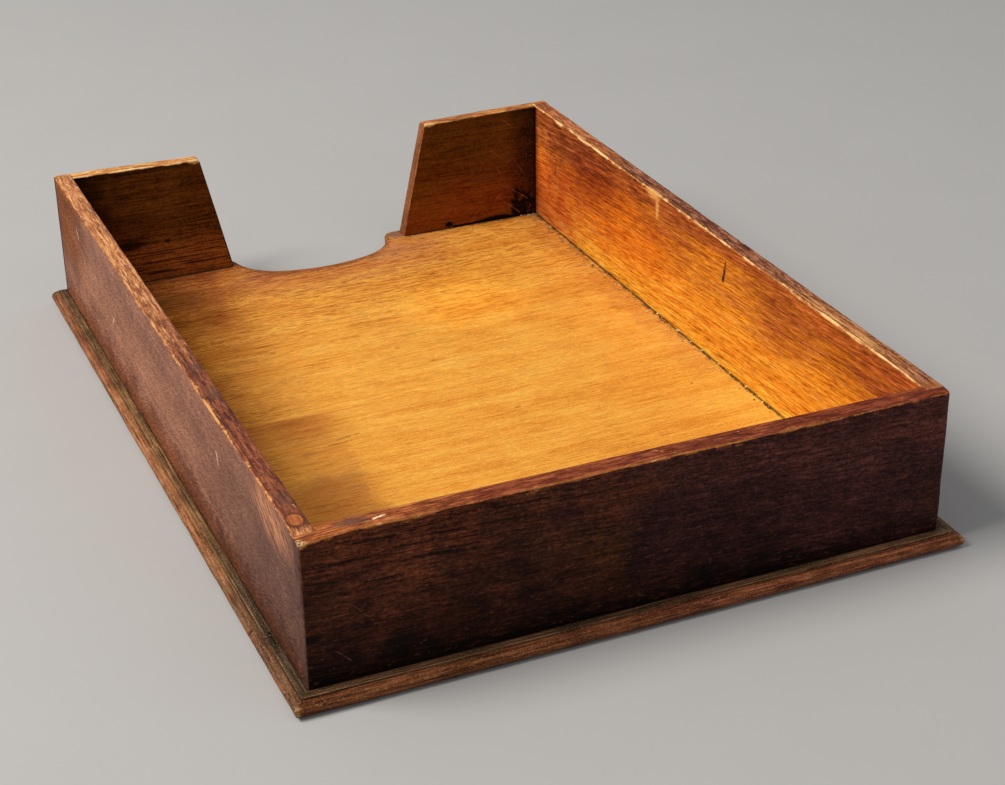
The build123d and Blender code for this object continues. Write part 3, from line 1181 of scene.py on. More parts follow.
def border_height(wood):
    """The point's height, pushed up or down so that the dark band's border wanders."""
    height = wood.z + 4 * wood.sway + 16 * (wood.band - 0.5) + 14 * (wood.streak - 0.5)
    hump = 8 * (wood.y + 16 * wood.sway).rise(-30, 15) * wood.y.rise(70, 35)
    dip = 9 * wood.y.rise(-75, -100) * wood.y.rise(-155, -125)
    return height - (hump + 2 * wood.y.rise(60, 140) - dip)


def inner_side_colour(wood, shade=1.0):
    """The inner face of a side: bright low down, dark along the top and towards the front."""
    flecks = wood.cloud(wood.grain, (7, 0.75), 2, 0.7, seed=70)
    level = wood.level(0.38, 0.22, 0.08, 0.08) + 0.1 * wood.speck + 0.14 * flecks.rise(0.4, 0.6)
    low = wood.shades(*glow_shades, level)
    high = wood.shades(*hand_darkened_shades, level)
    high = wood.tint(high, (1.35, 1.45, 1.3), wood.z.rise(53, 61) * wood.y.rise(70, 95))
    colour = wood.blend(low, high, border_height(wood).rise(30, 58))
    front = (wood.y + 26 * wood.sway).rise(-90, -165)
    shade_there = wood.blend((0.66, 0.38, 0.75), (0.76, 0.72, 1.0), wood.z.rise(34, 58))
    rear = (wood.y + 1.2 * wood.z + 30 * (wood.streak - 0.5)).rise(150, 225)
    front_end = (wood.y + 10 * (wood.speck - 0.5)).rise(-160, -176)
    front_end = front_end * (0.45 + 0.2 * wood.blot + 0.15 * wood.speck) * wood.z.rise(16, 40)
    # Painted shade: the face is darkened within 4 mm of the rear wall and of the cheek, in the inside
    # corners.
    painted_corner_shade = (rear_low[1] - wood.y).low(wood.y - cheek_high[1]).rise(4, 0)
    colour = wood.glaze(colour, [
        (shade_there, front),
        ((0.84, 0.7, 0.8), rear),
        ((1.05, 1.24, 1.3), wood.z.rise(19, 9)),
        ((0.97, 0.76, 0.66), wood.patch((-inner_half_width, -84, 38), (30, 82, 25), 0.6)),
        ((0.78, 0.65, 0.72), wood.patch((-inner_half_width, -112, 52), (30, 36, 18), 0.9)),
        ((2.2, 2.5, 1.65), front_end),
        ((0.36, 0.22, 0.25), wood.pore * 0.45),
        ((0.5, 0.36, 0.38), flecks.rise(0.42, 0.34) * 0.35),
        ((1.25, 1.45, 1.6), flecks.rise(0.58, 0.68) * 0.5),
        ((0.74, 0.62, 0.58), wood.speck * 0.45),
        ((0.55, 0.45, 0.5), painted_corner_shade),
        ((shade, shade, shade), 1.0),
    ])
    return wood.blend(colour, joint_dirt, wood.grime(0.5) * 0.9)


print("inner faces glow up to about 30 mm, and are dark above 58 mm")

# %% [markdown]
# The outer face has a duller polish with a fine slanting mottle. It is redder at the foot, where fewer
# hands reach, and darker towards the rear corner.

# %% The sides' outer faces
polished_shades = (0.15, 0.048, 0.024), (0.29, 0.105, 0.052), (0.46, 0.195, 0.11)
foot_shades = (0.066, 0.013, 0.0042), (0.195, 0.05, 0.014), (0.405, 0.126, 0.039)


def outer_side_colour(wood):
    """The outer face of a side: polished brown, redder at the foot and darker to the rear."""
    sloping = wood.join(wood.y, wood.z - 0.35 * wood.y, wood.x)
    mottle = wood.cloud(sloping, (5, 0.75), 2, 0.75, seed=40).rise(0.36, 0.64)
    level = wood.level(0.2, 0.1, 0.14, 0.18) + 0.38 * mottle
    foot_share = (wood.z + 6 * wood.sway + 4 * (mottle - 0.5)).rise(23, 16)
    colour = wood.shades(*polished_shades, level)
    colour = wood.blend(colour, wood.shades(*foot_shades, level), foot_share * 0.95)
    front = (wood.y - 0.5 * wood.z + 12 * wood.sway).rise(-128, -190)
    paler = wood.z.rise(22, 32) * wood.z.rise(56, 42) * (wood.y + 30 * wood.sway).rise(90, -60)
    colour = wood.glaze(colour, [
        ((0.72, 0.56, 0.3), front * wood.z.rise(14, 34)),
        ((1.2, 1.22, 1.14), paler * (1 - front)),
        ((0.44, 0.4, 0.42), (wood.y - 0.9 * wood.z + 30).rise(20, 170)),
        ((0.5, 0.4, 0.4), wood.pore * 0.3),
    ])
    glints = wood.cloud(wood.here, (3, 1.4), 1, 0.5, seed=30).rise(0.66, 0.74)
    colour = wood.blend(colour, (0.62, 0.36, 0.24), glints * 0.26)
    return wood.blend(colour, (0.02, 0.009, 0.005), wood.grime(0.5) * 0.9)


print("outer faces have", len(polished_shades), "shades, and as many at the foot")

# %% [markdown]
# The left side's top is nearly black in the middle and lighter at both ends, and its inner arris is
# rubbed to raw wood. Something heavy scraped a chip out of it near the front, and a dark knife mark
# stands near the middle of the face.

# %% Left side finish
scratch_dark = (0.02, 0.008, 0.003)


def left_top(wood):
    """The left side's top: three stretches with shades of their own."""
    front_part = top_colour(wood, (0.2, 0.055, 0.02), (0.42, 0.118, 0.036), (0.62, 0.23, 0.08))
    middle_part = top_colour(wood, (0.09, 0.025, 0.012), (0.21, 0.062, 0.03), (0.44, 0.17, 0.08))
    rear_part = top_colour(wood, (0.14, 0.042, 0.015), (0.33, 0.105, 0.034), (0.6, 0.26, 0.09))
    place = wood.y + 25 * wood.sway
    top = wood.blend(front_part, middle_part, place.rise(-120, -70))
    return wood.blend(top, rear_part, place.rise(50, 95) * place.rise(178, 150))


def finish_side_left():
    inner_face, outer_face = (0, -inner_half_width), (0, -half_width)
    wood = Wall("old_side_left", "yzx", 3.0, inner_face, outer_face, tilt=0.07, specular=0.05)
    inner = inner_side_colour(wood)
    for paint, width, row in (
        (scratch_dark, 1.0, (22.6, 57.8, 21.2, 49)),
        (scratch_dark, 1.5, (22.0, 53.0, 20.8, 48.6)),
        ((0.2, 0.05, 0.01), 0.9, (-156, 46, -158, 37)),
    ):
        inner = wood.marks(inner, paint, width, on_face(0, -inner_half_width, [row]))
    lines = wood.cloud(wood.lengthways, (30, 0.7), 2, 0.65, seed=60).rise(0.49, 0.56)
    rubbed = wood.patch((-124.4, 116, 66.8), (4.4, 66, 2.6), 0.6) * lines
    scrape = wood.patch((-123.2, -48, 66.2), (2.2, 10, 4.2))
    scrape = scrape.high(wood.patch((-123, -43.5, 60.5), (0.9, 2.2, 7.5)))
    rear_end = (wood.y + 5 * (wood.patchy - 0.5)).rise(168, 175) * (1 - wood.on_outer) * wood.z.rise(62, 66)
    colour = wood.cover(wood.lay(inner, outer_side_colour(wood), left_top(wood)), [
        (wood.raw((0.46, 0.16, 0.05), (0.88, 0.44, 0.16)), rubbed * 0.9),
        (wood.raw((0.62, 0.27, 0.07), (1.0, 0.66, 0.28)), wood.bare_arris(wood.from_inner, 0.95, even=0.4)),
        ((0.42, 0.15, 0.05), wood.bare_arris(wood.from_outer, 0.8, 0.7)),
        ((0.8, 0.43, 0.13), scrape * (0.6 + 0.4 * wood.fibre)),
        (wood.raw(), wood.stored("bare").rise(0.03, 0.2) * 0.8),
        (wood.raw((0.3, 0.09, 0.02), (0.66, 0.26, 0.07)), rear_end * 0.7),
    ])
    return wood.finish(colour, 0.55 - 0.1 * wood.blot, wood.relief())


sides["left"].data.materials.append(finish_side_left())
print("left side finished")

# %% [markdown]
# On the right side the outer face shows, rubbed to reddish flames near the rear corner, with three small
# pale nicks. Its top is dark red-brown, lighter towards the front, with black stains and a round plug
# near the rear end.

# %% Right side finish
def right_top(wood):
    """The right side's top, with its stains, its plug and a few pale nicks."""
    front_part = top_colour(wood, (0.26, 0.078, 0.028), (0.54, 0.18, 0.058), (0.8, 0.37, 0.14))
    rear_part = top_colour(wood, (0.085, 0.019, 0.009), (0.175, 0.04, 0.016), (0.33, 0.095, 0.032))
    place = wood.y + 50 * wood.sway + 20 * (wood.fibre - 0.5)
    top = wood.blend(front_part, rear_part, place.rise(-60, 50))
    top = wood.blend(top, front_part, (wood.y + 8 * (wood.patchy - 0.5)).rise(172, 177) * 0.75)
    around = wood.patch((127, 166, 66.8), (5, 14, 4), 0.6)
    stains = wood.patch((125.6, 42.3, 67.2), (4, 6, 3)).high(wood.patch((125.8, 66, 67.2), (4.5, 9, 3)))
    stains = stains.high(wood.patch((126, 154, 67), (4.5, 9, 4), 0.9))
    plug = (127.1, 169.6, 66.6)
    plug_level = wood.level(0.5, 0.2, 0, 0.3)
    plug_colour = wood.shades((0.34, 0.085, 0.024), (0.52, 0.15, 0.038), (0.66, 0.23, 0.065), plug_level)
    ring = wood.patch(plug, (3.8, 4.8, 5), 0.12) - wood.patch(plug, (3.1, 4.1, 5), 0.12)
    top = wood.cover(top, [
        ((0.27, 0.085, 0.032), around * (0.3 + 0.5 * wood.patchy)),
        ((0.13, 0.058, 0.034), stains * (0.25 + 0.55 * wood.edge_fibre)),
        (plug_colour, wood.patch(plug, (3.0, 4.0, 5), 0.2) * (0.75 + 0.25 * wood.speck)),
        ((0.085, 0.026, 0.014), ring * (0.5 + 0.5 * wood.speck)),
    ])
    return wood.marks(top, (0.66, 0.36, 0.18), 0.3, [
        ((124.2, 162, 66.7), (124.9, 159.6, 66.8)),
        ((129.4, -86, 67), (127.6, -82, 67)),
        ((128.2, -89, 67), (129.8, -84, 67)),
    ])


def finish_side_right():
    inner_face, outer_face = (0, inner_half_width), (0, half_width)
    wood = Wall("old_side_right", "yzx", 8.0, inner_face, outer_face, tilt=-0.06, specular=0.2)
    outer = outer_side_colour(wood)
    tilted = wood.join(wood.y - 0.6 * wood.z, wood.z + 0.6 * wood.y, wood.x)
    flames = wood.cloud(tilted, (11, 1.7), 3, 0.7, seed=33).rise(0.42, 0.56)
    flames = flames * wood.patch((half_width, 152, 59), (8, 33, 15), 0.8)
    outer = wood.blend(outer, (0.68, 0.27, 0.115), flames * 0.75)
    nicks = on_face(0, half_width, [(84.1, 51, 85.5, 46.8), (-145.6, 56, -143, 52), (-81, 37, -84, 33)])
    outer = wood.marks(outer, (0.8, 0.52, 0.34), 0.9, nicks)
    colour = wood.cover(wood.lay(inner_side_colour(wood, 0.85), outer, right_top(wood)), [
        (wood.raw((0.36, 0.11, 0.03), (0.74, 0.34, 0.1)), wood.bare_arris(wood.from_outer, 1.1)),
        ((0.3, 0.1, 0.035), wood.bare_arris(wood.from_inner, 0.6, 0.6)),
        (wood.raw(), wood.stored("bare").rise(0.03, 0.2) * 0.7),
    ])
    dull = wood.on_outer * wood.y.rise(-125, -165) * wood.z.rise(22, 50)
    return wood.finish(colour, 0.5 + 0.4 * dull, wood.relief(0.04))


sides["right"].data.materials.append(finish_side_right())
print("right side finished")

# %% [markdown]
# The rear wall is the darkest face: almost black low down, and browner by the right side than by the
# left. Each of these shifts is a glaze over one set of shades, and a few shadows keep the middle from
# looking even.

# %% The rear wall's outer face
brown_shades = (0.03, 0.008, 0.005), (0.088, 0.023, 0.01), (0.19, 0.05, 0.02)
cool_shades = (0.026, 0.009, 0.008), (0.07, 0.0205, 0.017), (0.155, 0.045, 0.036)
rear_y = rear_high[1]


def rear_shades(wood, level):
    """The rear wall's polish, from brown on the right to cool on the left and black at the foot."""
    sway, x, z = wood.sway, wood.x, wood.z
    outer = wood.shades(*brown_shades, level)
    outer = wood.blend(outer, wood.shades(*cool_shades, level), (x + 60 * sway).rise(40, -20) * 0.9)
    low = (z + 18 * sway + 8 * (wood.band - 0.5)).rise(42, 12)
    outer = wood.tint(outer, (0.5, 0.44, 0.48), low * (0.25 + 0.75 * x.rise(-95, -30)))
    blotches = wood.cloud(wood.here, (15, 15, 7), 3, 0.6, seed=18).rise(0.57, 0.7)
    outer = wood.blend(outer, (0.01, 0.004, 0.003), blotches * 0.35)
    scuffed = wood.cloud(wood.grain, (2.4, 1.2), 3, 0.75, seed=38)
    outer = wood.glaze(outer, [
        ((0.62, 0.78, 0.42), wood.patch((14, rear_y, 33), (24, 3, 26), 1.0) * 0.8),
        ((0.55, 0.52, 0.52), scuffed.rise(0.5, 0.4) * 0.8),
        ((1.55, 1.6, 1.65), scuffed.rise(0.52, 0.64) * 0.8),
    ])
    dashes = wood.cloud(wood.grain, (9, 1.5), 2, 0.65, seed=24).rise(0.42, 0.5)
    dashes = dashes * (z + 6 * sway).rise(19, 11) * x.rise(-110, -60)
    outer = wood.blend(outer, (0.006, 0.003, 0.002), dashes * 0.85)
    lighter = (x + 24 * sway).rise(50, 84) * x.rise(131, 116) * z.rise(16, 34)
    shaded = wood.patch((51, rear_y, 30), (22, 3, 26), 1.0)
    shaded = shaded.high(wood.patch((0, rear_y, 22), (20, 3, 18), 1.0))
    return wood.glaze(outer, [
        ((1.42, 1.4, 1.34), lighter),
        ((1.25, 1.2, 1.0), z.rise(50, 62) * x.rise(20, 90)),
        ((0.62, 0.64, 0.66), (x + 8 * sway).rise(113, 123) * z.rise(54, 42)),
        ((1.12, 1.14, 1.22), x.rise(-45, -80) * z.rise(12, 24) * z.rise(60, 46)),
        ((1.28, 1.24, 1.24), z.rise(30, 60) * x.rise(-15, -50)),
        ((0.6, 0.6, 0.7), shaded),
        ((1.55, 1.35, 1.45), wood.patch((12, rear_y, 46), (11, 3, 8), 0.9)),
        ((0.66, 0.6, 0.7), wood.patch((-2, rear_y, 39), (10, 3, 10), 0.9)),
        ((0.72, 0.68, 0.76), wood.patch((31, rear_y, 30), (13, 3, 10), 0.9)),
        ((0.58, 0.58, 0.6), (z + 5 * sway).rise(17, 9)),
    ])


print("rear wall's shades ready, face at", round(rear_y, 2), "mm")

# %% [markdown]
# Drying has opened short black cracks along the grain, most of them high up by the right side, and
# knocks have left thin pale scratches. Small ones come from noise. The long ones are listed one by one.

# %% The rear wall's cracks and scratches
crack_black = (0.006, 0.002, 0.002)
grime_black = (0.006, 0.003, 0.002)
long_cracks = on_face(1, rear_y, [
    (129.6, 49.4, 117.4, 47.7),
    (97.4, 56.2, 82.6, 55.7),
    (84, 58.3, 70, 57),
    (112, 61.6, 96, 61),
    (28, 27.2, 17, 26.6),
    (118, 63, 106, 62.2),
    (90, 50.5, 78, 50),
    (124, 55.2, 113, 54.6),
    (76, 64, 66, 63.4),
    (108, 45, 94, 44.6),
    (60, 62.6, 38, 61.8),
])
pale_scratches = on_face(1, rear_y, [
    (113.1, 37, 107, 30.6),
    (105.3, 27.5, 99.1, 26.3),
    (44, 45.5, 34, 46.3),
    (120, 20, 114, 14),
])


def rear_marks(wood, outer):
    """Cracks, pores, scratches and the black at the foot, over the rear wall's shades."""
    sway = wood.sway
    cracks = wood.cloud(wood.grain, (30, 1.1), 1, 0.6, seed=28).rise(0.64, 0.68)
    cracked = (wood.x + 20 * sway).rise(-10, 60) * (wood.z + 10 * sway).rise(22, 42)
    outer = wood.blend(outer, grime_black, cracks * (0.12 + 0.6 * cracked))
    outer = wood.tint(outer, (0.25, 0.22, 0.22), wood.pore * 0.7)
    outer = wood.tint(outer, (0.65, 0.6, 0.6), wood.speck * 0.5)
    glints = wood.cloud(wood.grain, (2.6, 1.3), 1, 0.5, seed=43).rise(0.64, 0.74)
    outer = wood.blend(outer, (0.2, 0.07, 0.042), glints * 0.28)
    outer = wood.marks(outer, crack_black, 0.6, long_cracks)
    outer = wood.marks(outer, (0.16, 0.06, 0.032), 0.3, pale_scratches)
    black = wood.patch((128.3, rear_y, 27), (5, 3, 2.6)).high(wood.patch((96.5, rear_y, 18), (9, 3, 3)))
    return wood.blend(outer, grime_black, black.high(wood.grime(0.9)) * 0.9)


print(len(long_cracks), "long cracks and", len(pale_scratches), "scratches on the rear wall")

# %% [markdown]
# The top is red-brown, lighter by the right side, with a pale plug near the left end and a few fine
# scratches. The ends are end grain, which is darker than a face because it drinks the polish.

# %% The rear wall's top and ends
def rear_top(wood):
    """The rear wall's top, from one side of the tray to the other."""
    right_part = top_colour(wood, (0.2, 0.048, 0.015), (0.38, 0.095, 0.023), (0.54, 0.18, 0.05))
    main_part = top_colour(wood, (0.13, 0.025, 0.01), (0.225, 0.043, 0.014), (0.34, 0.082, 0.026))
    main_part = wood.tint(main_part, (0.82, 0.72, 0.66), wood.x.rise(-45, -70))
    top = wood.blend(main_part, right_part, (wood.x + 20 * wood.sway).rise(60, 95))
    top = wood.blend(top, (0.12, 0.055, 0.04), wood.patch((110, 179.4, 67), (9, 3.4, 3)) * 0.75)
    plug = wood.patch((-108.5, 179.6, wall_top), (3.6, 3.0, 4), 0.25)
    top = wood.tint(top, (1.4, 1.5, 1.2), plug * (0.5 + 0.5 * wood.speck))
    top = wood.marks(top, (0.5, 0.2, 0.07), 0.6, on_face(2, wall_top, [
        (-6, 176.5, -9, 180),
        (-9, 180, -16, 183.6),
    ]))
    return wood.marks(top, (0.85, 0.62, 0.36), 0.35, on_face(2, wall_top, [
        (-41.6, 176.4, -41.2, 179),
        (-122.4, 176.6, -124.4, 181.6),
    ]))


def rear_arrises(wood, colour, level):
    """Raw wood along the rear wall's arrises and round its worn right corner."""
    slope = wood.shades((0.2, 0.05, 0.014), (0.38, 0.12, 0.03), (0.55, 0.2, 0.06), level)
    off_arris = wood.from_outer.high(wood.from_top - 0.25)
    thin = (0.8 * wood.patchy * (0.3 + 0.9 * wood.fibre) - off_arris).rise(0.0, 0.25)
    sparks = wood.cloud(wood.here, 5, 2, 0.6, seed=51).rise(0.56, 0.66)
    crisp = wood.cloud(wood.here, 0.8, 1, 0.6, seed=62).rise(0.47, 0.54)
    tip = wood.patch((half_width - 0.4, rear_y - 0.8, wall_top - 1.0), (2.6, 2.6, 2.0), 0.35)
    beside_tip = wood.patch((half_width - 9, rear_y - 0.3, wall_top - 0.5), (10, 1.0, 0.8), 0.7)
    return wood.cover(colour, [
        (slope, wood.bare_arris(wood.from_outer, 1.8) * 0.85),
        (wood.blend((0.46, 0.16, 0.045), (0.82, 0.46, 0.17), sparks), thin * 0.8),
        ((0.34, 0.1, 0.03), wood.bare_arris(wood.from_inner, 0.6, 0.7)),
        (wood.blend((0.15, 0.05, 0.016), (1.0, 0.78, 0.45), crisp), tip.high(beside_tip * wood.edge_fibre)),
    ])


def finish_rear_wall():
    wood = Wall("old_rear_wall", "xzy", 15.0, (1, rear_low[1]), (1, rear_y), tilt=0.05, specular=0.07)
    level = wood.level(0.24, 0.14, 0.12, 0.22) + 0.28 * wood.speck
    outer = rear_marks(wood, rear_shades(wood, level))
    inner = wood.shades((0.14, 0.03, 0.006), (0.25, 0.06, 0.012), (0.4, 0.12, 0.025), level)
    inner = wood.tint(inner, (0.45, 0.35, 0.4), wood.pore * 0.7)
    inner = wood.blend(inner, (0.03, 0.012, 0.006), wood.grime(0.6) * 0.9)
    colour = wood.lay(inner, outer, rear_top(wood))
    from_end = half_width - abs(wood.squared[0])
    end_level = wood.level(0.2, 0.3, 0.2, 0.3)
    end_grain = wood.shades((0.05, 0.02, 0.014), (0.1, 0.042, 0.03), (0.16, 0.075, 0.052), end_level)
    colour = wood.blend(colour, end_grain, from_end.rise(0.6, 0.05) * (1 - wood.on_top))
    colour = rear_arrises(wood, colour, level)
    sliver = wood.mark((102.5, 180.6, 66.8), (98.2, 179.6, 66.8), 0.7)
    colour = wood.blend(colour, (0.95, 0.72, 0.48), sliver)
    chipped = wood.raw((0.3, 0.1, 0.03), (0.7, 0.34, 0.12))
    colour = wood.blend(colour, chipped, wood.stored("bare").rise(0.05, 0.25) * 0.6)
    return wood.finish(colour, 0.5, wood.relief(0.05))


rear_wall.data.materials.append(finish_rear_wall())
print("rear wall finished")

# %% [markdown]
# The cheeks' inner faces lie in shade. The right one is chocolate brown with black streaks and a lighter
# foot, with painted shade darkest in the corner by the side.

# %% The right cheek's inner face
def right_cheek_colour(wood, inner_y, level, to_side):
    inner = wood.shades((0.035, 0.01, 0.002), (0.125, 0.04, 0.005), (0.21, 0.074, 0.011), level)
    foot = wood.shades((0.06, 0.013, 0.004), (0.29, 0.085, 0.016), (0.48, 0.17, 0.035), level)
    inner = wood.blend(inner, foot, (wood.z + 8 * (wood.streak - 0.5)).rise(36, 16))
    black_streaks = wood.cloud(wood.grain, (30, 0.9), 2, 0.6, seed=48).rise(0.53, 0.6)
    inner = wood.blend(inner, (0.012, 0.004, 0.002), black_streaks * (0.35 + 0.5 * wood.z.rise(42, 20)))
    dark = wood.patch((79.5, inner_y, 26.8), (2.2, 2, 1.6)).high(wood.patch((99, inner_y, 27), (11, 3, 4)))
    inner = wood.blend(inner, (0.01, 0.004, 0.002), dark * 0.8)
    # Painted shade: the face is darkened towards the corner by the side, within about 22 mm of it.
    return wood.tint(inner, (0.18, 0.18, 0.2), (to_side + 8 * wood.sway).rise(22, 3))


print("right cheek's face ready, at", round(cheek_high[1], 2), "mm")

# %% [markdown]
# The left cheek is red-brown, with criss-cross scratches at two angles and a black smudge in the corner,
# where dirty fingers reached for the last sheet. Dirt lies in the pores, so the smudge breaks up into
# specks at its edge. Shade is also painted into the corner against the side.

# %% The left cheek's inner face
def left_cheek_dirt_and_shade(wood, inner_y, to_side):
    """The black smudge by the side, the dark specks up the joint, and painted shade in the corner."""
    smudge = wood.patch((-115, inner_y, 14), (12, 3, 16), 0.95)
    smudge = 1.9 * smudge * wood.cloud(wood.here, 5, 3, 0.75, seed=40).rise(0.36, 0.6)
    smudge = smudge.high(wood.patch((-100, inner_y, 7.5), (16, 3, 3), 0.9))
    specks = wood.cloud(wood.here, 1.1, 2, 0.7, seed=38).rise(0.3, 0.6)
    # Painted shade in the corner by the side, broken up by specks of dirt, and darkest in the last 2.6 mm.
    edge_dirt_and_corner_shade = (to_side + 8 * wood.sway).rise(20, 1.5) * (0.4 + 0.6 * specks)
    edge_dirt_and_corner_shade = edge_dirt_and_corner_shade.high(to_side.rise(2.6, 0.8))
    return (1.5 * smudge).high(edge_dirt_and_corner_shade) * (0.85 + 0.15 * wood.streak)


def left_cheek_colour(wood, inner_y, level, to_side):
    inner = wood.shades((0.075, 0.025, 0.003), (0.14, 0.05, 0.0045), (0.2, 0.075, 0.01), level)
    foot = wood.shades((0.14, 0.03, 0.004), (0.24, 0.062, 0.008), (0.34, 0.105, 0.016), level)
    inner = wood.blend(inner, foot, (wood.z + 16 * wood.sway).rise(44, 16))
    crossed = wood.hairlines((2.2, 60), (0, 0.75, 0), 52).high(wood.hairlines((2.6, 60), (0, -0.55, 0), 56))
    scratched = wood.patch((-108, inner_y, 32), (20, 5, 30), 0.8)
    inner = wood.blend(inner, (0.34, 0.13, 0.07), crossed * scratched * 0.45)
    inner = wood.blend(inner, (0.01, 0.005, 0.004), left_cheek_dirt_and_shade(wood, inner_y, to_side))
    inner = wood.marks(inner, (0.26, 0.088, 0.045), 0.4, on_face(1, inner_y, [
        (-99, 20.8, -113.5, 8.5),
        (-89.5, 19, -97.5, 9),
        (-91, 31.5, -99, 32),
        (-105, 25, -118, 16),
        (-97, 46, -104, 40),
        (-103, 63, -110, 57),
    ]))
    nick = wood.patch((-72.3, inner_y, 8.6), (2.6, 1.5, 1.7), 0.3)
    gap = wood.mark((-75, inner_y, 7.0), (-121, inner_y, 7.2), 1.0)
    return wood.blend(inner, (0.004, 0.002, 0.002), nick.high(gap))


print("left cheek's face ready")

# %% [markdown]
# Both cheeks' tops and inner arrises are rubbed to orange, the right one's most. The sawn end of the
# right cheek has a dark arris, and that of the left one a rubbed one.

# %% Cheek finishes
def finish_cheek(hand, name):
    inner_y, outer_y = cheek_high[1], cheek_low[1]
    right = hand > 0
    seed = 23.0 if right else 29.0
    wood = Wall(f"old_cheek_{name}", "xzy", seed, (1, inner_y), (1, outer_y), specular=0.06)
    level = wood.level(0.28, 0.18, 0.14, 0.2) + 0.2 * wood.speck
    to_side = inner_half_width - abs(wood.x)
    inner = (right_cheek_colour if right else left_cheek_colour)(wood, inner_y, level, to_side)
    inner = wood.tint(inner, (0.45, 0.35, 0.35), wood.pore * 0.45)
    under_arris = wood.from_top.rise(5.0, 0.8) * (0.4 + 0.6 * wood.blot)
    inner = wood.tint(inner, (0.3, 0.3, 0.35), under_arris * 0.8)
    inner = wood.blend(inner, (0.012, 0.006, 0.003), wood.grime(0.5) * 0.9)
    outer = wood.shades((0.04, 0.012, 0.006), (0.095, 0.028, 0.012), (0.19, 0.06, 0.025), level)
    outer = wood.tint(outer, (0.3, 0.26, 0.26), wood.pore * 0.5)
    outer = wood.blend(outer, (0.012, 0.006, 0.004), wood.grime(0.6) * 0.9)
    end_grain = wood.shades((0.11, 0.035, 0.014), (0.24, 0.078, 0.024), (0.4, 0.16, 0.06), level)
    from_end = abs(wood.squared[0] - hand * (half_width - cheek_foot_width))
    off_end_arris = wood.from_inner.high(from_end)
    if right:
        top_shades = (0.34, 0.095, 0.024), (0.68, 0.25, 0.065), (0.96, 0.5, 0.17)
        arrises = [
            ((0.05, 0.018, 0.008), (0.9 - off_end_arris).rise(0.0, 0.3) * 0.8),
            (wood.raw((0.78, 0.36, 0.11), (1, 0.68, 0.29)), wood.bare_arris(wood.from_inner, 0.8, 1, 0.4)),
        ]
    else:
        top_shades = (0.25, 0.07, 0.018), (0.48, 0.155, 0.038), (0.74, 0.32, 0.09)
        arrises = [
            ((0.5, 0.2, 0.07), (0.7 * (0.3 + wood.patchy) - off_end_arris).rise(0.0, 0.3) * 0.8),
            (wood.raw(), wood.bare_arris(wood.from_inner, 0.5, 0.8)),
        ]
    tip_place = (hand * (half_width - cheek_top_width + 2.5), inner_y, wall_top - 1.2)
    colour = wood.cover(wood.lay(inner, outer, top_colour(wood, *top_shades)), [
        (end_grain, from_end.rise(0.5, 0.05) * (1 - wood.on_top)),
        *arrises,
        ((0.45, 0.16, 0.05), wood.bare_arris(wood.from_outer, 1.0, 0.8)),
        ((0.95, 0.6, 0.26), wood.patch(tip_place, (4.5, 2.5, 2.0), 0.6) * 0.7),
        (wood.raw(), wood.stored("bare").rise(0.03, 0.2) * 0.7),
    ])
    return wood.finish(colour, 0.55, wood.relief(0.04))


for name, hand in (("left", -1), ("right", 1)):
    cheeks[name].data.materials.append(finish_cheek(hand, name))
print("cheeks finished")

# %% [markdown]
# ## The floor of the tray
#
# The base's upper face is a paler wood, whose fine pores show as short dark dashes. It is browner by the
# right side, and smoother behind the seam there. Wide soft ramps carry the change of shade, and the
# dashes get stronger where the wood is dark.

# %% Floor wood
golden_shades = (0.8, 0.29, 0.032), (0.985, 0.44, 0.06), (1.0, 0.56, 0.1)
aged_shades = (0.27, 0.072, 0.009), (0.67, 0.235, 0.027), (0.94, 0.41, 0.06)
smooth_shades = (0.55, 0.2, 0.027), (0.74, 0.28, 0.037), (0.88, 0.39, 0.056)


def floor_wood(wood, level, right, has_cutout):
    """The floor's shades with their dashes, pores and gold flecks, and the ripples for its relief."""
    sway, x, y = wood.sway, wood.x, wood.y
    floor = wood.shades(*golden_shades, level)
    floor = wood.blend(floor, wood.shades(*aged_shades, wood.level(0.44, 0.28, 0.18, 0.1)), right)
    if not has_cutout:
        behind_seam = (y - seam_y).rise(32, 12) * (x + 8 * (wood.band - 0.5)).rise(40, 70) * x.rise(124, 108)
        floor = wood.blend(floor, wood.shades(*smooth_shades, level), behind_seam * 0.9)
    ridges = wood.cloud(wood.grain, (44, 0.8), 2, 0.6, seed=37).rise(0.54, 0.62)
    ripples = wood.cloud(wood.grain, (3.6, 0.62), 2, 0.6, 0.4, 31).rise(0.5, 0.66)
    dashes = wood.cloud(wood.grain, (8, 1.0), 2, 0.7, seed=33).rise(0.54, 0.6)
    gold = wood.cloud(wood.grain, (2.6, 0.9), 2, 0.7, seed=35).rise(0.54, 0.66)
    fore = (y + 30 * sway).rise(-40, -150)
    floor = wood.glaze(floor, [
        ((0.52, 0.38, 0.3), ridges * right * 0.6),
        ((0.55, 0.36, 0.25), ripples * (0.06 + 0.3 * right)),
        ((0.6, 0.42, 0.32), dashes * (0.14 + 0.6 * right.high(fore))),
        ((0.78, 0.66, 0.58), wood.speck * (0.46 + 0.4 * right.high(fore))),
        ((1.25, 1.45, 1.7), gold * (0.55 + 0.3 * right)),
        ((0.52, 0.34, 0.25), wood.pore * (0.26 + 0.45 * right.high(fore))),
    ])
    return floor, ripples


print("floor shades ready")
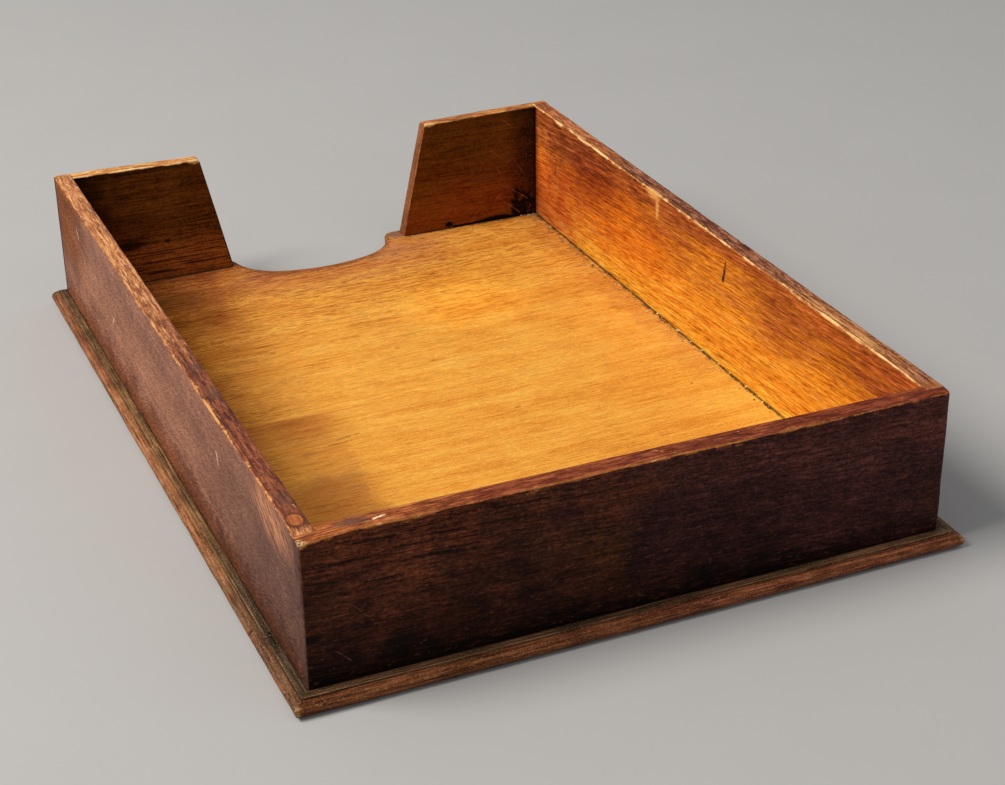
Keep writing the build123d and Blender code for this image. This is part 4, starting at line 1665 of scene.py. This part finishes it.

# %% [markdown]
# Years of use show as zones: brown by the cut-out, where fingers lift the paper, and paler or redder
# strips along the left. Along the right side a band of painted shadow sharpens the edge of the side's
# own shadow. Small round spots and two scratches are placed one by one.

# %% Floor zones and spots
def floor_zones(wood, floor):
    """The zones that both boards share, each a glaze with a ragged border."""
    sway, x, y = wood.sway, wood.x, wood.y
    front = (y + 16 * sway + 8 * (wood.streak - 0.5)).rise(-124, -166)
    # Painted shadow: a darker band at x 55 to 86 mm sharpens the edge of the right side's cast shadow.
    painted_shadow_edge = (x + 5 * (wood.streak - 0.5)).rise(55, 66) * (x + 5 * sway).rise(86, 76)
    painted_shadow_edge = painted_shadow_edge * (y + 20 * sway).rise(-50, -80).high(y.rise(-12, -10))
    # A patch by the right side, towards the front, is darker.
    darker_front_right = wood.patch((78, -132, base_top), (24, 36, 9), 0.7)
    return wood.glaze(floor, [
        ((0.66, 0.53, 1.2), front * (0.55 + 0.45 * wood.blot) * (0.12 + 0.88 * x.rise(-82, -40))),
        ((0.84, 0.76, 0.82), painted_shadow_edge * (0.3 + 0.6 * wood.streak)),
        ((0.66, 0.6, 0.7), darker_front_right * (0.45 + 0.55 * wood.fibre)),
        ((1.22, 1.16, 0.9), wood.patch((-45, -92, base_top), (48, 42, 9), 0.9)),
        ((0.97, 1.04, 1.05), (x + 10 * sway).rise(-98, -122)),
        ((0.88, 0.8, 0.96), (x + 10 * sway).rise(-103, -117) * y.rise(50, 0)),
        ((1.06, 1.22, 1.25), (x + 10 * sway).rise(-84, -116) * y.rise(-50, 30)),
    ])


def floor_spots(wood, floor, has_cutout):
    """What only one of the two boards has: stains, scratches and small round spots."""
    sway, x, y = wood.sway, wood.x, wood.y
    if has_cutout:
        spots = [((20.3, -129.3), 2.2), ((4.7, -58), 1.5), ((-5.6, -39), 1.7), ((-62, -151), 1.8)]
        green = wood.patch((84, -154, base_top), (22, 16, 9), 0.9)
        floor = wood.blend(floor, (0.17, 0.07, 0.014), green * 0.75 * (0.4 + 0.6 * wood.blot))
        brown = wood.patch((14, -164, base_top), (54, 14, 9), 0.9)
        floor = wood.tint(floor, (0.5, 0.32, 0.25), brown * wood.streak)
    else:
        spots = [((-22.2, 20), 2.0), ((-92.4, 2.9), 1.6)]
        scratches = on_face(2, base_top, [(65.5, 19.1, 54.8, 18.0), (61, 15.4, 50, 13.6)])
        floor = wood.marks(floor, (0.3, 0.1, 0.015), 0.6, scratches)
        ragged_x = x + 5 * (wood.band - 0.5) + 3 * (wood.speck - 0.5)
        corner = (y + 4 * sway).rise(41, 48) * ragged_x.rise(57, 65)
        floor = wood.tint(floor, (0.74, 0.68, 0.76), corner * x.rise(98, 84))
    for (spot_x, spot_y), size in spots:
        spot = wood.patch((spot_x, spot_y, base_top), (size, size * 0.55, 2))
        floor = wood.blend(floor, (0.3, 0.1, 0.02), spot * 0.6)
    return floor


print("floor zones ready")

# %% [markdown]
# Dust lies where the floor meets the walls, in a strip whose width is multiplied by a fine cloud, so its
# border is fuzzy. By the cut-out the floor goes over to a brown rim, drawn from the distance that the
# mesh carries.

# %% Dust in the joints
def floor_dust(wood, floor, level, has_cutout):
    """Dirt along the walls and the cheeks, and the rim of the cut-out, dark from handling."""
    x, y = wood.x, wood.y
    fuzz = wood.cloud(wood.here, (2.2, 4.5, 2.2), 4, 0.75, seed=44).rise(0.4, 0.66)
    to_left_wall, to_right_wall = x + inner_half_width, inner_half_width - x
    to_rear_wall, to_cheeks = rear_low[1] - y, y - cheek_high[1]
    dusty = (to_left_wall - 5.5 * (y + 12 * wood.blot).rise(80, -60) * fuzz).rise(2.2, -1.0) * fuzz
    floor = wood.cover(floor, [
        ((0.2, 0.115, 0.045), dusty * 0.75),
        ((0.06, 0.04, 0.021), (to_left_wall - 0.9 * fuzz).rise(1.1, 0.2) * (0.7 + 0.25 * fuzz)),
        ((0.05, 0.025, 0.01), (to_right_wall - 1.5 * fuzz).rise(1.2, -0.5) * 0.8),
        ((0.05, 0.025, 0.012), (to_rear_wall - 1.5 * fuzz).rise(1.2, -0.5) * 0.8),
    ])
    if not has_cutout:
        return floor
    behind_cheeks = (to_cheeks - 1.2 * fuzz).rise(1.4, -0.4) * 0.8 * abs(x).rise(46, 49)
    pale_dust = wood.patch((-119.5, cheek_high[1] + 1.2, base_top), (6, 2.2, 2), 0.8)
    rim = (wood.stored("edge") + 4 * (wood.speck - 0.5) + 2 * (wood.streak - 0.5)).rise(6.0, 1.0)
    return wood.cover(floor, [
        ((0.07, 0.045, 0.022), behind_cheeks),
        ((0.42, 0.36, 0.26), pale_dust * fuzz),
        (wood.shades((0.14, 0.038, 0.01), (0.27, 0.085, 0.02), (0.46, 0.17, 0.04), level), rim * 0.9),
    ])


print("dust ready")

# %% [markdown]
# ## The moulding's finish
#
# Outside the walls the moulding is brown and dusty, and redder on the round. Its grain runs along each
# edge and turns at the mitres, so its noise reads the strip's own coordinates: the way along the edge and
# the distance in from it.

# %% Moulding shades
def moulding_shades(wood, distance, by_side):
    """The round and the lip, each with shades of its own for the sides and for the rear."""
    sway, x, y = wood.sway, wood.x, wood.y
    strip = wood.join(x + (y - x) * by_side, distance, wood.z)
    fibre = wood.cloud(strip, (12, 0.6), 3, 0.75, seed=57).rise(0.36, 0.64)
    streak = wood.cloud(strip, (34, 1.3), 2, 0.6, seed=58).rise(0.38, 0.62)
    wear = 0.42 * fibre + 0.28 * streak + 0.3 * wood.blot
    near = (y + 30 * sway).rise(60, 130)
    rounded = wood.shades((0.075, 0.021, 0.008), (0.185, 0.058, 0.021), (0.35, 0.125, 0.046), wear)
    rounded = wood.tint(rounded, (1.5, 1.45, 1.7), x.rise(90, -60))
    side_round = wood.shades((0.15, 0.055, 0.022), (0.34, 0.135, 0.052), (0.54, 0.25, 0.105), wear)
    side_round = wood.tint(side_round, (0.5, 0.55, 0.65), near)
    side_round = wood.tint(side_round, (0.82, 0.74, 0.78), y.rise(-60, -120))
    rounded = wood.blend(rounded, side_round, by_side)
    red = wood.cloud(wood.here, 11, 3, 0.6, seed=50).rise(0.5, 0.64)
    rounded = wood.blend(rounded, (0.4, 0.085, 0.015), red * wood.z.rise(5.2, 2.4) * by_side * 0.85)
    lip = wood.shades((0.06, 0.034, 0.016), (0.145, 0.078, 0.034), (0.28, 0.15, 0.068), wear)
    lip = wood.glaze(lip, [
        ((0.84, 0.74, 0.8), (1 - by_side) * x.rise(-70, -30)),
        ((1.4, 1.25, 1.45), (1 - by_side) * x.rise(-60, -90)),
        ((1.45, 1.38, 1.3), by_side * y.rise(-130, -40) * y.rise(110, 50)),
        ((0.5, 0.58, 0.7), near * by_side),
    ])
    grit = wood.cloud(wood.here, 0.8, 2, 0.6, seed=55)
    lines = wood.cloud(strip, (34, 0.42), 1, 0.6, seed=59)
    moulding = wood.blend(rounded, lip, (distance - round_width).rise(-0.1, 0.25))
    moulding = wood.blend(moulding, (0.48, 0.31, 0.16), grit.rise(0.58, 0.68) * 0.45)
    moulding = wood.tint(moulding, (0.35, 0.3, 0.28), grit.rise(0.44, 0.36) * 0.6)
    return wood.tint(moulding, (0.26, 0.22, 0.22), lines.rise(0.56, 0.63) * 0.75), lip


print("moulding shades ready, round", round(round_width, 2), "mm wide")

# %% [markdown]
# Three thin lines run the whole way round: a painted highlight where the lip ends, a black line in the
# quirk under it that is partly dirt and partly painted shade, and a painted shadow against the walls. The
# mitres and the rear corners are knocked pale, and a chip is missing from the right edge.

# %% Moulding lines and knocks
def moulding_lines_and_knocks(wood, moulding, distance, from_side, from_rear):
    # Painted highlight: a pale line on the lip's edge, just before it drops into the quirk.
    ridge = abs(distance - round_width - 0.5).rise(0.34, 0.1)
    ridge = ridge * (0.15 + 0.85 * wood.blot) * (0.4 + 0.6 * wood.speck)
    # The black line in the quirk is partly dirt and partly painted shade.
    quirk_dirt_and_shade = abs(distance - round_width - 0.02).rise(0.22, 0.08) * (0.2 + 0.35 * wood.blot)
    # Painted shadow: a dark line where the lip meets the walls.
    painted_wall_shadow = abs(distance - overhang + 0.1).rise(0.55, 0.1) * (0.55 + 0.45 * wood.blot)
    mitre = abs(from_side - from_rear).rise(1.3, 0.2) * distance.rise(9.0, 4.0)
    tip = wood.patch((half_base - 1.0, base_rear - 1.0, 3.6), (2.4, 2.4, 4), 0.8)
    tip = tip.high(wood.patch((-half_base + 1.0, base_rear - 1.0, 3.6), (2.2, 2.2, 4), 0.8))
    knocked = (tip * wood.fibre).high(mitre * 0.35 * wood.blot)
    moulding = wood.cover(moulding, [
        ((0.44, 0.27, 0.13), ridge * 0.75),
        ((0.012, 0.007, 0.004), quirk_dirt_and_shade.high(painted_wall_shadow) * 0.85),
        ((0.7, 0.4, 0.17), knocked * 0.85),
        ((0.02, 0.009, 0.005), wood.patch((half_base - 0.6, 138.6, 3.6), (1.6, 1.1, 3.5), 0.4) * 0.8),
    ])
    # Painted shade: the moulding's lowest 1.3 mm is darkened as the contact shadow under the round.
    return wood.tint(moulding, (0.3, 0.25, 0.25), wood.z.rise(1.3, 0.4))


print("moulding lines ready")

# %% [markdown]
# The base boards put these together: moulding outside the walls, floor inside them, plain brown wood
# underneath. The front edge and the cut-out are dark from handling, with a chip and a stain.

# %% Base finishes
def front_edge(wood, colour, lip, level, from_side):
    """The front board's outer strip, the nose of its front edge and cut-out, a chip and a stain."""
    before_cheeks = (abs(wood.x) - 46.0).rise(0.0, 0.6) * (side_low[1] - 3.4 - wood.y).rise(-0.3, 0.3)
    nose = wood.z.rise(base_top - 0.25, base_top - 1.0) * (1 - from_side.rise(8, 4))
    return wood.cover(colour, [
        (lip, before_cheeks),
        (wood.shades((0.09, 0.03, 0.01), (0.19, 0.065, 0.02), (0.32, 0.13, 0.045), level), nose),
        ((0.62, 0.34, 0.16), wood.patch((-26, -162.2, base_top), (1.7, 1.0, 2)) * 0.8),
        ((0.17, 0.1, 0.065), wood.patch((-44, -187, base_top), (7, 6, 4), 0.6) * 0.75),
    ])


def finish_base(name, seed, has_cutout):
    wood = MarkedWood(name, "xyz", seed, tilt=0.012, specular=0.06, fine=1.1, length=30)
    level = wood.level(0.28, 0.12, 0.16, 0.16) + 0.28 * wood.speck
    right = (wood.x - 0.28 * wood.y + 26 * wood.sway + 24 * (wood.streak - 0.5)).rise(54, 150)
    floor, ripples = floor_wood(wood, level, right, has_cutout)
    floor = floor_spots(wood, floor_zones(wood, floor), has_cutout)
    floor = floor_dust(wood, floor, level, has_cutout)
    from_side = half_base - abs(wood.x)
    from_rear = base_rear - wood.y
    distance = from_side.low(from_rear)
    by_side = (from_rear - from_side).rise(-0.3, 0.3)
    moulding, lip = moulding_shades(wood, distance, by_side)
    moulding = moulding_lines_and_knocks(wood, moulding, distance, from_side, from_rear)
    colour = wood.blend(moulding, floor, (distance - overhang - 0.3).rise(0, 0.6))
    if has_cutout:
        colour = front_edge(wood, colour, lip, level, from_side)
    under = wood.shades((0.16, 0.075, 0.035), (0.27, 0.14, 0.07), (0.38, 0.22, 0.12), level)
    under = wood.tint(under, (0.4, 0.35, 0.35), wood.pore * 0.7)
    colour = wood.blend(colour, under, wood.z.rise(0.35, 0.05))
    relief = 0.05 * wood.fibre + 0.02 * wood.streak + 0.05 * wood.speck - 0.06 * wood.pore - 0.04 * ripples
    return wood.finish(colour, 0.5, relief)


rear_board.data.materials.append(finish_base("old_base_rear", 35.0, False))
front_board.data.materials.append(finish_base("old_base_front", 47.0, True))
print("base finished")

# %% [markdown]
# ## Crumbs
#
# Crumbs and dust lie where the floor meets the walls, most of all along the left side. They repeat along
# a path, so Geometry Nodes grows them. This class makes such a tree with named inputs, runs it on a
# piece and keeps the result as a plain mesh.

# %% Growing with Geometry Nodes
class Growth(Nodes):
    """A Geometry Nodes tree with named inputs, which grows small pieces from a plain mesh."""

    def __init__(self, name, inputs):
        super().__init__(bpy.data.node_groups.new(name, "GeometryNodeTree"))
        sockets = self.tree.interface
        sockets.new_socket("Geometry", in_out="INPUT", socket_type="NodeSocketGeometry")
        sockets.new_socket("Geometry", in_out="OUTPUT", socket_type="NodeSocketGeometry")
        self.keys = {}
        for label, kind in inputs.items():
            self.keys[label] = sockets.new_socket(label, in_out="INPUT", socket_type=kind).identifier
        entry = self.tree.nodes.new("NodeGroupInput")
        self.given = {socket.name: Signal(self, socket) for socket in entry.outputs}

    def chance(self, low, high, seed):
        """A number between low and high, another for each point."""
        values = {2: low, 3: high, "Seed": self.given["Seed"] + seed}
        return self.node("FunctionNodeRandomValue", {"data_type": "FLOAT"}, values, 1)

    def times(self, vector, factor):
        return self.vectors("SCALE", vector, Scale=factor)

    def end(self, shape, material):
        """Closes the tree with real faces and their material."""
        whole = self.node("GeometryNodeRealizeInstances", None, {"Geometry": shape})
        painted = self.node("GeometryNodeSetMaterial", None, {"Geometry": whole, "Material": material})
        result = self.tree.nodes.new("NodeGroupOutput")
        self.fill(result.inputs["Geometry"], painted)

    def grow(self, piece, sizes):
        """Runs the tree on a piece and leaves the piece with the grown mesh."""
        modifier = piece.modifiers.new("growth", "NODES")
        modifier.node_group = self.tree
        for label, value in sizes.items():
            modifier[self.keys[label]] = value
        graph = bpy.context.evaluated_depsgraph_get()
        grown = bpy.data.meshes.new_from_object(piece.evaluated_get(graph))
        piece.modifiers.remove(modifier)
        piece.data = grown


print("growth kit ready")

# %% [markdown]
# A crumb is a rough ball of 20 faces. Chance pushes it inwards, cubed so that most lie by the wall, and
# cubed again for its size, so that few are large. Noise makes it knobbly.

# %% Crumbs
def crumb_finish(name, dark, middle, pale):
    """Crumbs in three shades, each with its own."""
    crumb = Finish(name, specular=0.1)
    here = crumb.place()
    shade = crumb.cloud(here, 1.6, 1, 0.5, seed=4.0)
    fine = crumb.cloud(here, 0.25, 1, 0.5, seed=9.0)
    colour = crumb.blend(dark, middle, shade.rise(0.4, 0.5))
    colour = crumb.blend(colour, pale, shade.rise(0.5, 0.58))
    colour = crumb.tint(colour, (0.82, 0.78, 0.72), fine.rise(0.4, 0.6))
    return crumb.finish(colour, 0.8)


def crumb_growth(name, material):
    """A tree that grows crumbs along the paths of a mesh made of edges alone."""
    tree = Growth(name, {
        "Count": "NodeSocketInt",
        "Reach": "NodeSocketFloat",
        "Spread": "NodeSocketFloat",
        "Smallest": "NodeSocketFloat",
        "Largest": "NodeSocketFloat",
        "Seed": "NodeSocketInt",
    })
    given = tree.given
    path = tree.node("GeometryNodeMeshToCurve", None, {"Mesh": given["Geometry"]})
    values = {"Curve": path, "Count": given["Count"]}
    points = tree.node("GeometryNodeCurveToPoints", {"mode": "COUNT"}, values)
    tangent = Signal(tree, points.socket.node.outputs["Tangent"])
    inwards = tree.vectors("CROSS_PRODUCT", (0, 0, 1), tangent)
    share = tree.chance(0.0, 1.0, 1)
    away = given["Reach"] * share * share * share
    size_share = tree.chance(0.0, 1.0, 2)
    size = given["Smallest"] + (given["Largest"] - given["Smallest"]) * size_share * size_share * size_share
    sideways = tree.times(tangent, given["Spread"] * tree.chance(-1.0, 1.0, 3))
    offset = tree.shift(tree.times(inwards, away + size), sideways)
    lift = tree.node("ShaderNodeCombineXYZ", None, {2: size * 0.6})
    values = {"Geometry": points, "Offset": tree.shift(offset, lift)}
    moved = tree.node("GeometryNodeSetPosition", None, values)
    ball = tree.node("GeometryNodeMeshIcoSphere", None, {"Radius": 1.0, "Subdivisions": 1})
    turn = tree.node("ShaderNodeCombineXYZ", None, {0: tree.chance(0.0, 6.2, 4), 2: tree.chance(0.0, 6.2, 5)})
    width = size * tree.chance(0.55, 1.0, 6)
    spread = tree.node("ShaderNodeCombineXYZ", None, {0: size, 1: width, 2: size * 0.7})
    values = {"Points": moved, "Instance": ball, "Rotation": turn, "Scale": spread}
    crumbs = tree.node("GeometryNodeInstanceOnPoints", None, values)
    solid = tree.node("GeometryNodeRealizeInstances", None, {"Geometry": crumbs})
    place = tree.times(tree.node("GeometryNodeInputPosition"), 1 / MM)
    rough = tree.node("ShaderNodeTexNoise", None, {"Vector": place, "Scale": 1.6, "Detail": 1.0}, 1)
    rough = tree.times(tree.shift(rough, (-0.5, -0.5, -0.5)), given["Smallest"] * 1.2)
    knobbly = tree.node("GeometryNodeSetPosition", None, {"Geometry": solid, "Offset": rough})
    tree.end(knobbly, material)
    return tree


dusty = crumb_finish("dusty_crumbs", (0.12, 0.065, 0.025), (0.48, 0.3, 0.11), (0.92, 0.7, 0.33))
bread = crumb_finish("bread_crumbs", (0.8, 0.54, 0.14), (0.97, 0.74, 0.25), (1.0, 0.9, 0.45))
print("crumbs of two kinds:", dusty.name, bread.name)

# %% [markdown]
# The paths are the joints, walked with the tray's inside on the left. The left side is cut into five
# stretches with the same count each, so that the short ones are the dirtiest. Thirteen larger crumbs lie
# where the photograph has them, each grown on a path of a hundredth of a millimetre.

# %% Where the crumbs lie
def path_mesh(name, paths):
    """A mesh of edges alone, one path of points after another, lying on the floor."""
    points, edges = [], []
    for path in paths:
        for index, (x, y) in enumerate(path):
            if index:
                edges.append((len(points) - 1, len(points)))
            points.append((x * MM, y * MM, base_top * MM))
    mesh = bpy.data.meshes.new(name)
    mesh.from_pydata(points, edges, [])
    piece = bpy.data.objects.new(name, mesh)
    bpy.context.scene.collection.objects.link(piece)
    return piece


left_x, right_x = -inner_half_width, inner_half_width
foot_y, head_y = cheek_high[1], rear_low[1]
joints = [
    [(left_x, -34), (left_x, foot_y)],
    [(left_x, 16), (left_x, -34)],
    [(left_x, 44), (left_x, 16)],
    [(left_x, 76), (left_x, 44)],
    [(left_x, head_y), (left_x, 76)],
    [(right_x, head_y), (left_x, head_y)],
    [(right_x, foot_y), (right_x, head_y)],
    [(left_x, foot_y), (left_x + 8, foot_y)],
]
seam_crumbs = path_mesh("seam_crumbs", joints)
crumb_growth("seam_growth", dusty).grow(seam_crumbs, {
    "Count": 34,
    "Reach": 3.4 * MM,
    "Spread": 2.5 * MM,
    "Smallest": 0.14 * MM,
    "Largest": 0.62 * MM,
    "Seed": 7,
})

large_crumbs = [
    (-121.8, -19.1), (-122.0, -18.0), (-122.3, 5.1), (-122.1, 20.8), (-122.3, 31), (-122.1, 45.9),
    (-122.2, 57.2), (-121.4, 62), (-121.9, -39.5), (-101.8, 31.9), (-106.3, 46.1), (-119, -79),
    (-119.5, -107),
]
floor_crumbs = path_mesh("floor_crumbs", [[(x, y), (x, y + 0.01)] for x, y in large_crumbs])
crumb_growth("floor_growth", bread).grow(floor_crumbs, {
    "Count": 1,
    "Reach": 0.0,
    "Spread": 0.0,
    "Smallest": 0.55 * MM,
    "Largest": 1.0 * MM,
    "Seed": 3,
})
print(len(seam_crumbs.data.polygons) + len(floor_crumbs.data.polygons), "faces of crumbs")

# %% [markdown]
# ## Metals
#
# The pins are dull steel with brown rust. The screws are brass that has gone dark, brighter where it was
# rubbed. Their CAD shapes are right as they are, so only the material changes.

# %% Metals
def metal(name, dark, bright, rust, rust_share):
    """Old metal: two shades in fine clouds, with rust or tarnish in patches."""
    finish = Finish(name, specular=0.5)
    here = finish.place()
    clouds = finish.cloud(here, 0.7, 3, 0.6, seed=2.0)
    scratches = finish.cloud(here, (2.0, 0.15), 1, 0.5, seed=5.0)
    patches = finish.cloud(here, 1.1, 3, 0.65, seed=8.0).rise(0.48, 0.6) * rust_share
    colour = finish.blend(dark, bright, (0.6 * clouds + 0.5 * scratches).rise(0.35, 0.75))
    colour = finish.blend(colour, rust, patches)
    finish.fill(finish.shader.inputs["Metallic"], 1 - patches)
    return finish.finish(colour, 0.35 + 0.4 * patches, 0.02 * clouds)


steel = metal("dull_steel", (0.16, 0.16, 0.165), (0.42, 0.42, 0.43), (0.14, 0.055, 0.025), 0.9)
brass = metal("dark_brass", (0.24, 0.15, 0.055), (0.62, 0.43, 0.17), (0.06, 0.035, 0.015), 0.8)
fixings = [node for node in bpy.data.objects if node.name.startswith(("pin_", "screw_"))]
for node in fixings:
    for slot in node.material_slots:
        slot.material = steel if node.name.startswith("pin_") else brass
print(len(fixings), "pins and screws in metal")

# %% [markdown]
# ## The tray's one body
#
# Each piece rides on the tray's one body.

# %% Rides
for piece in [rear_wall, *sides.values(), *cheeks.values()]:
    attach(piece, "root")

for piece in (rear_board, front_board, seam_crumbs, floor_crumbs):
    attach(piece, "root")
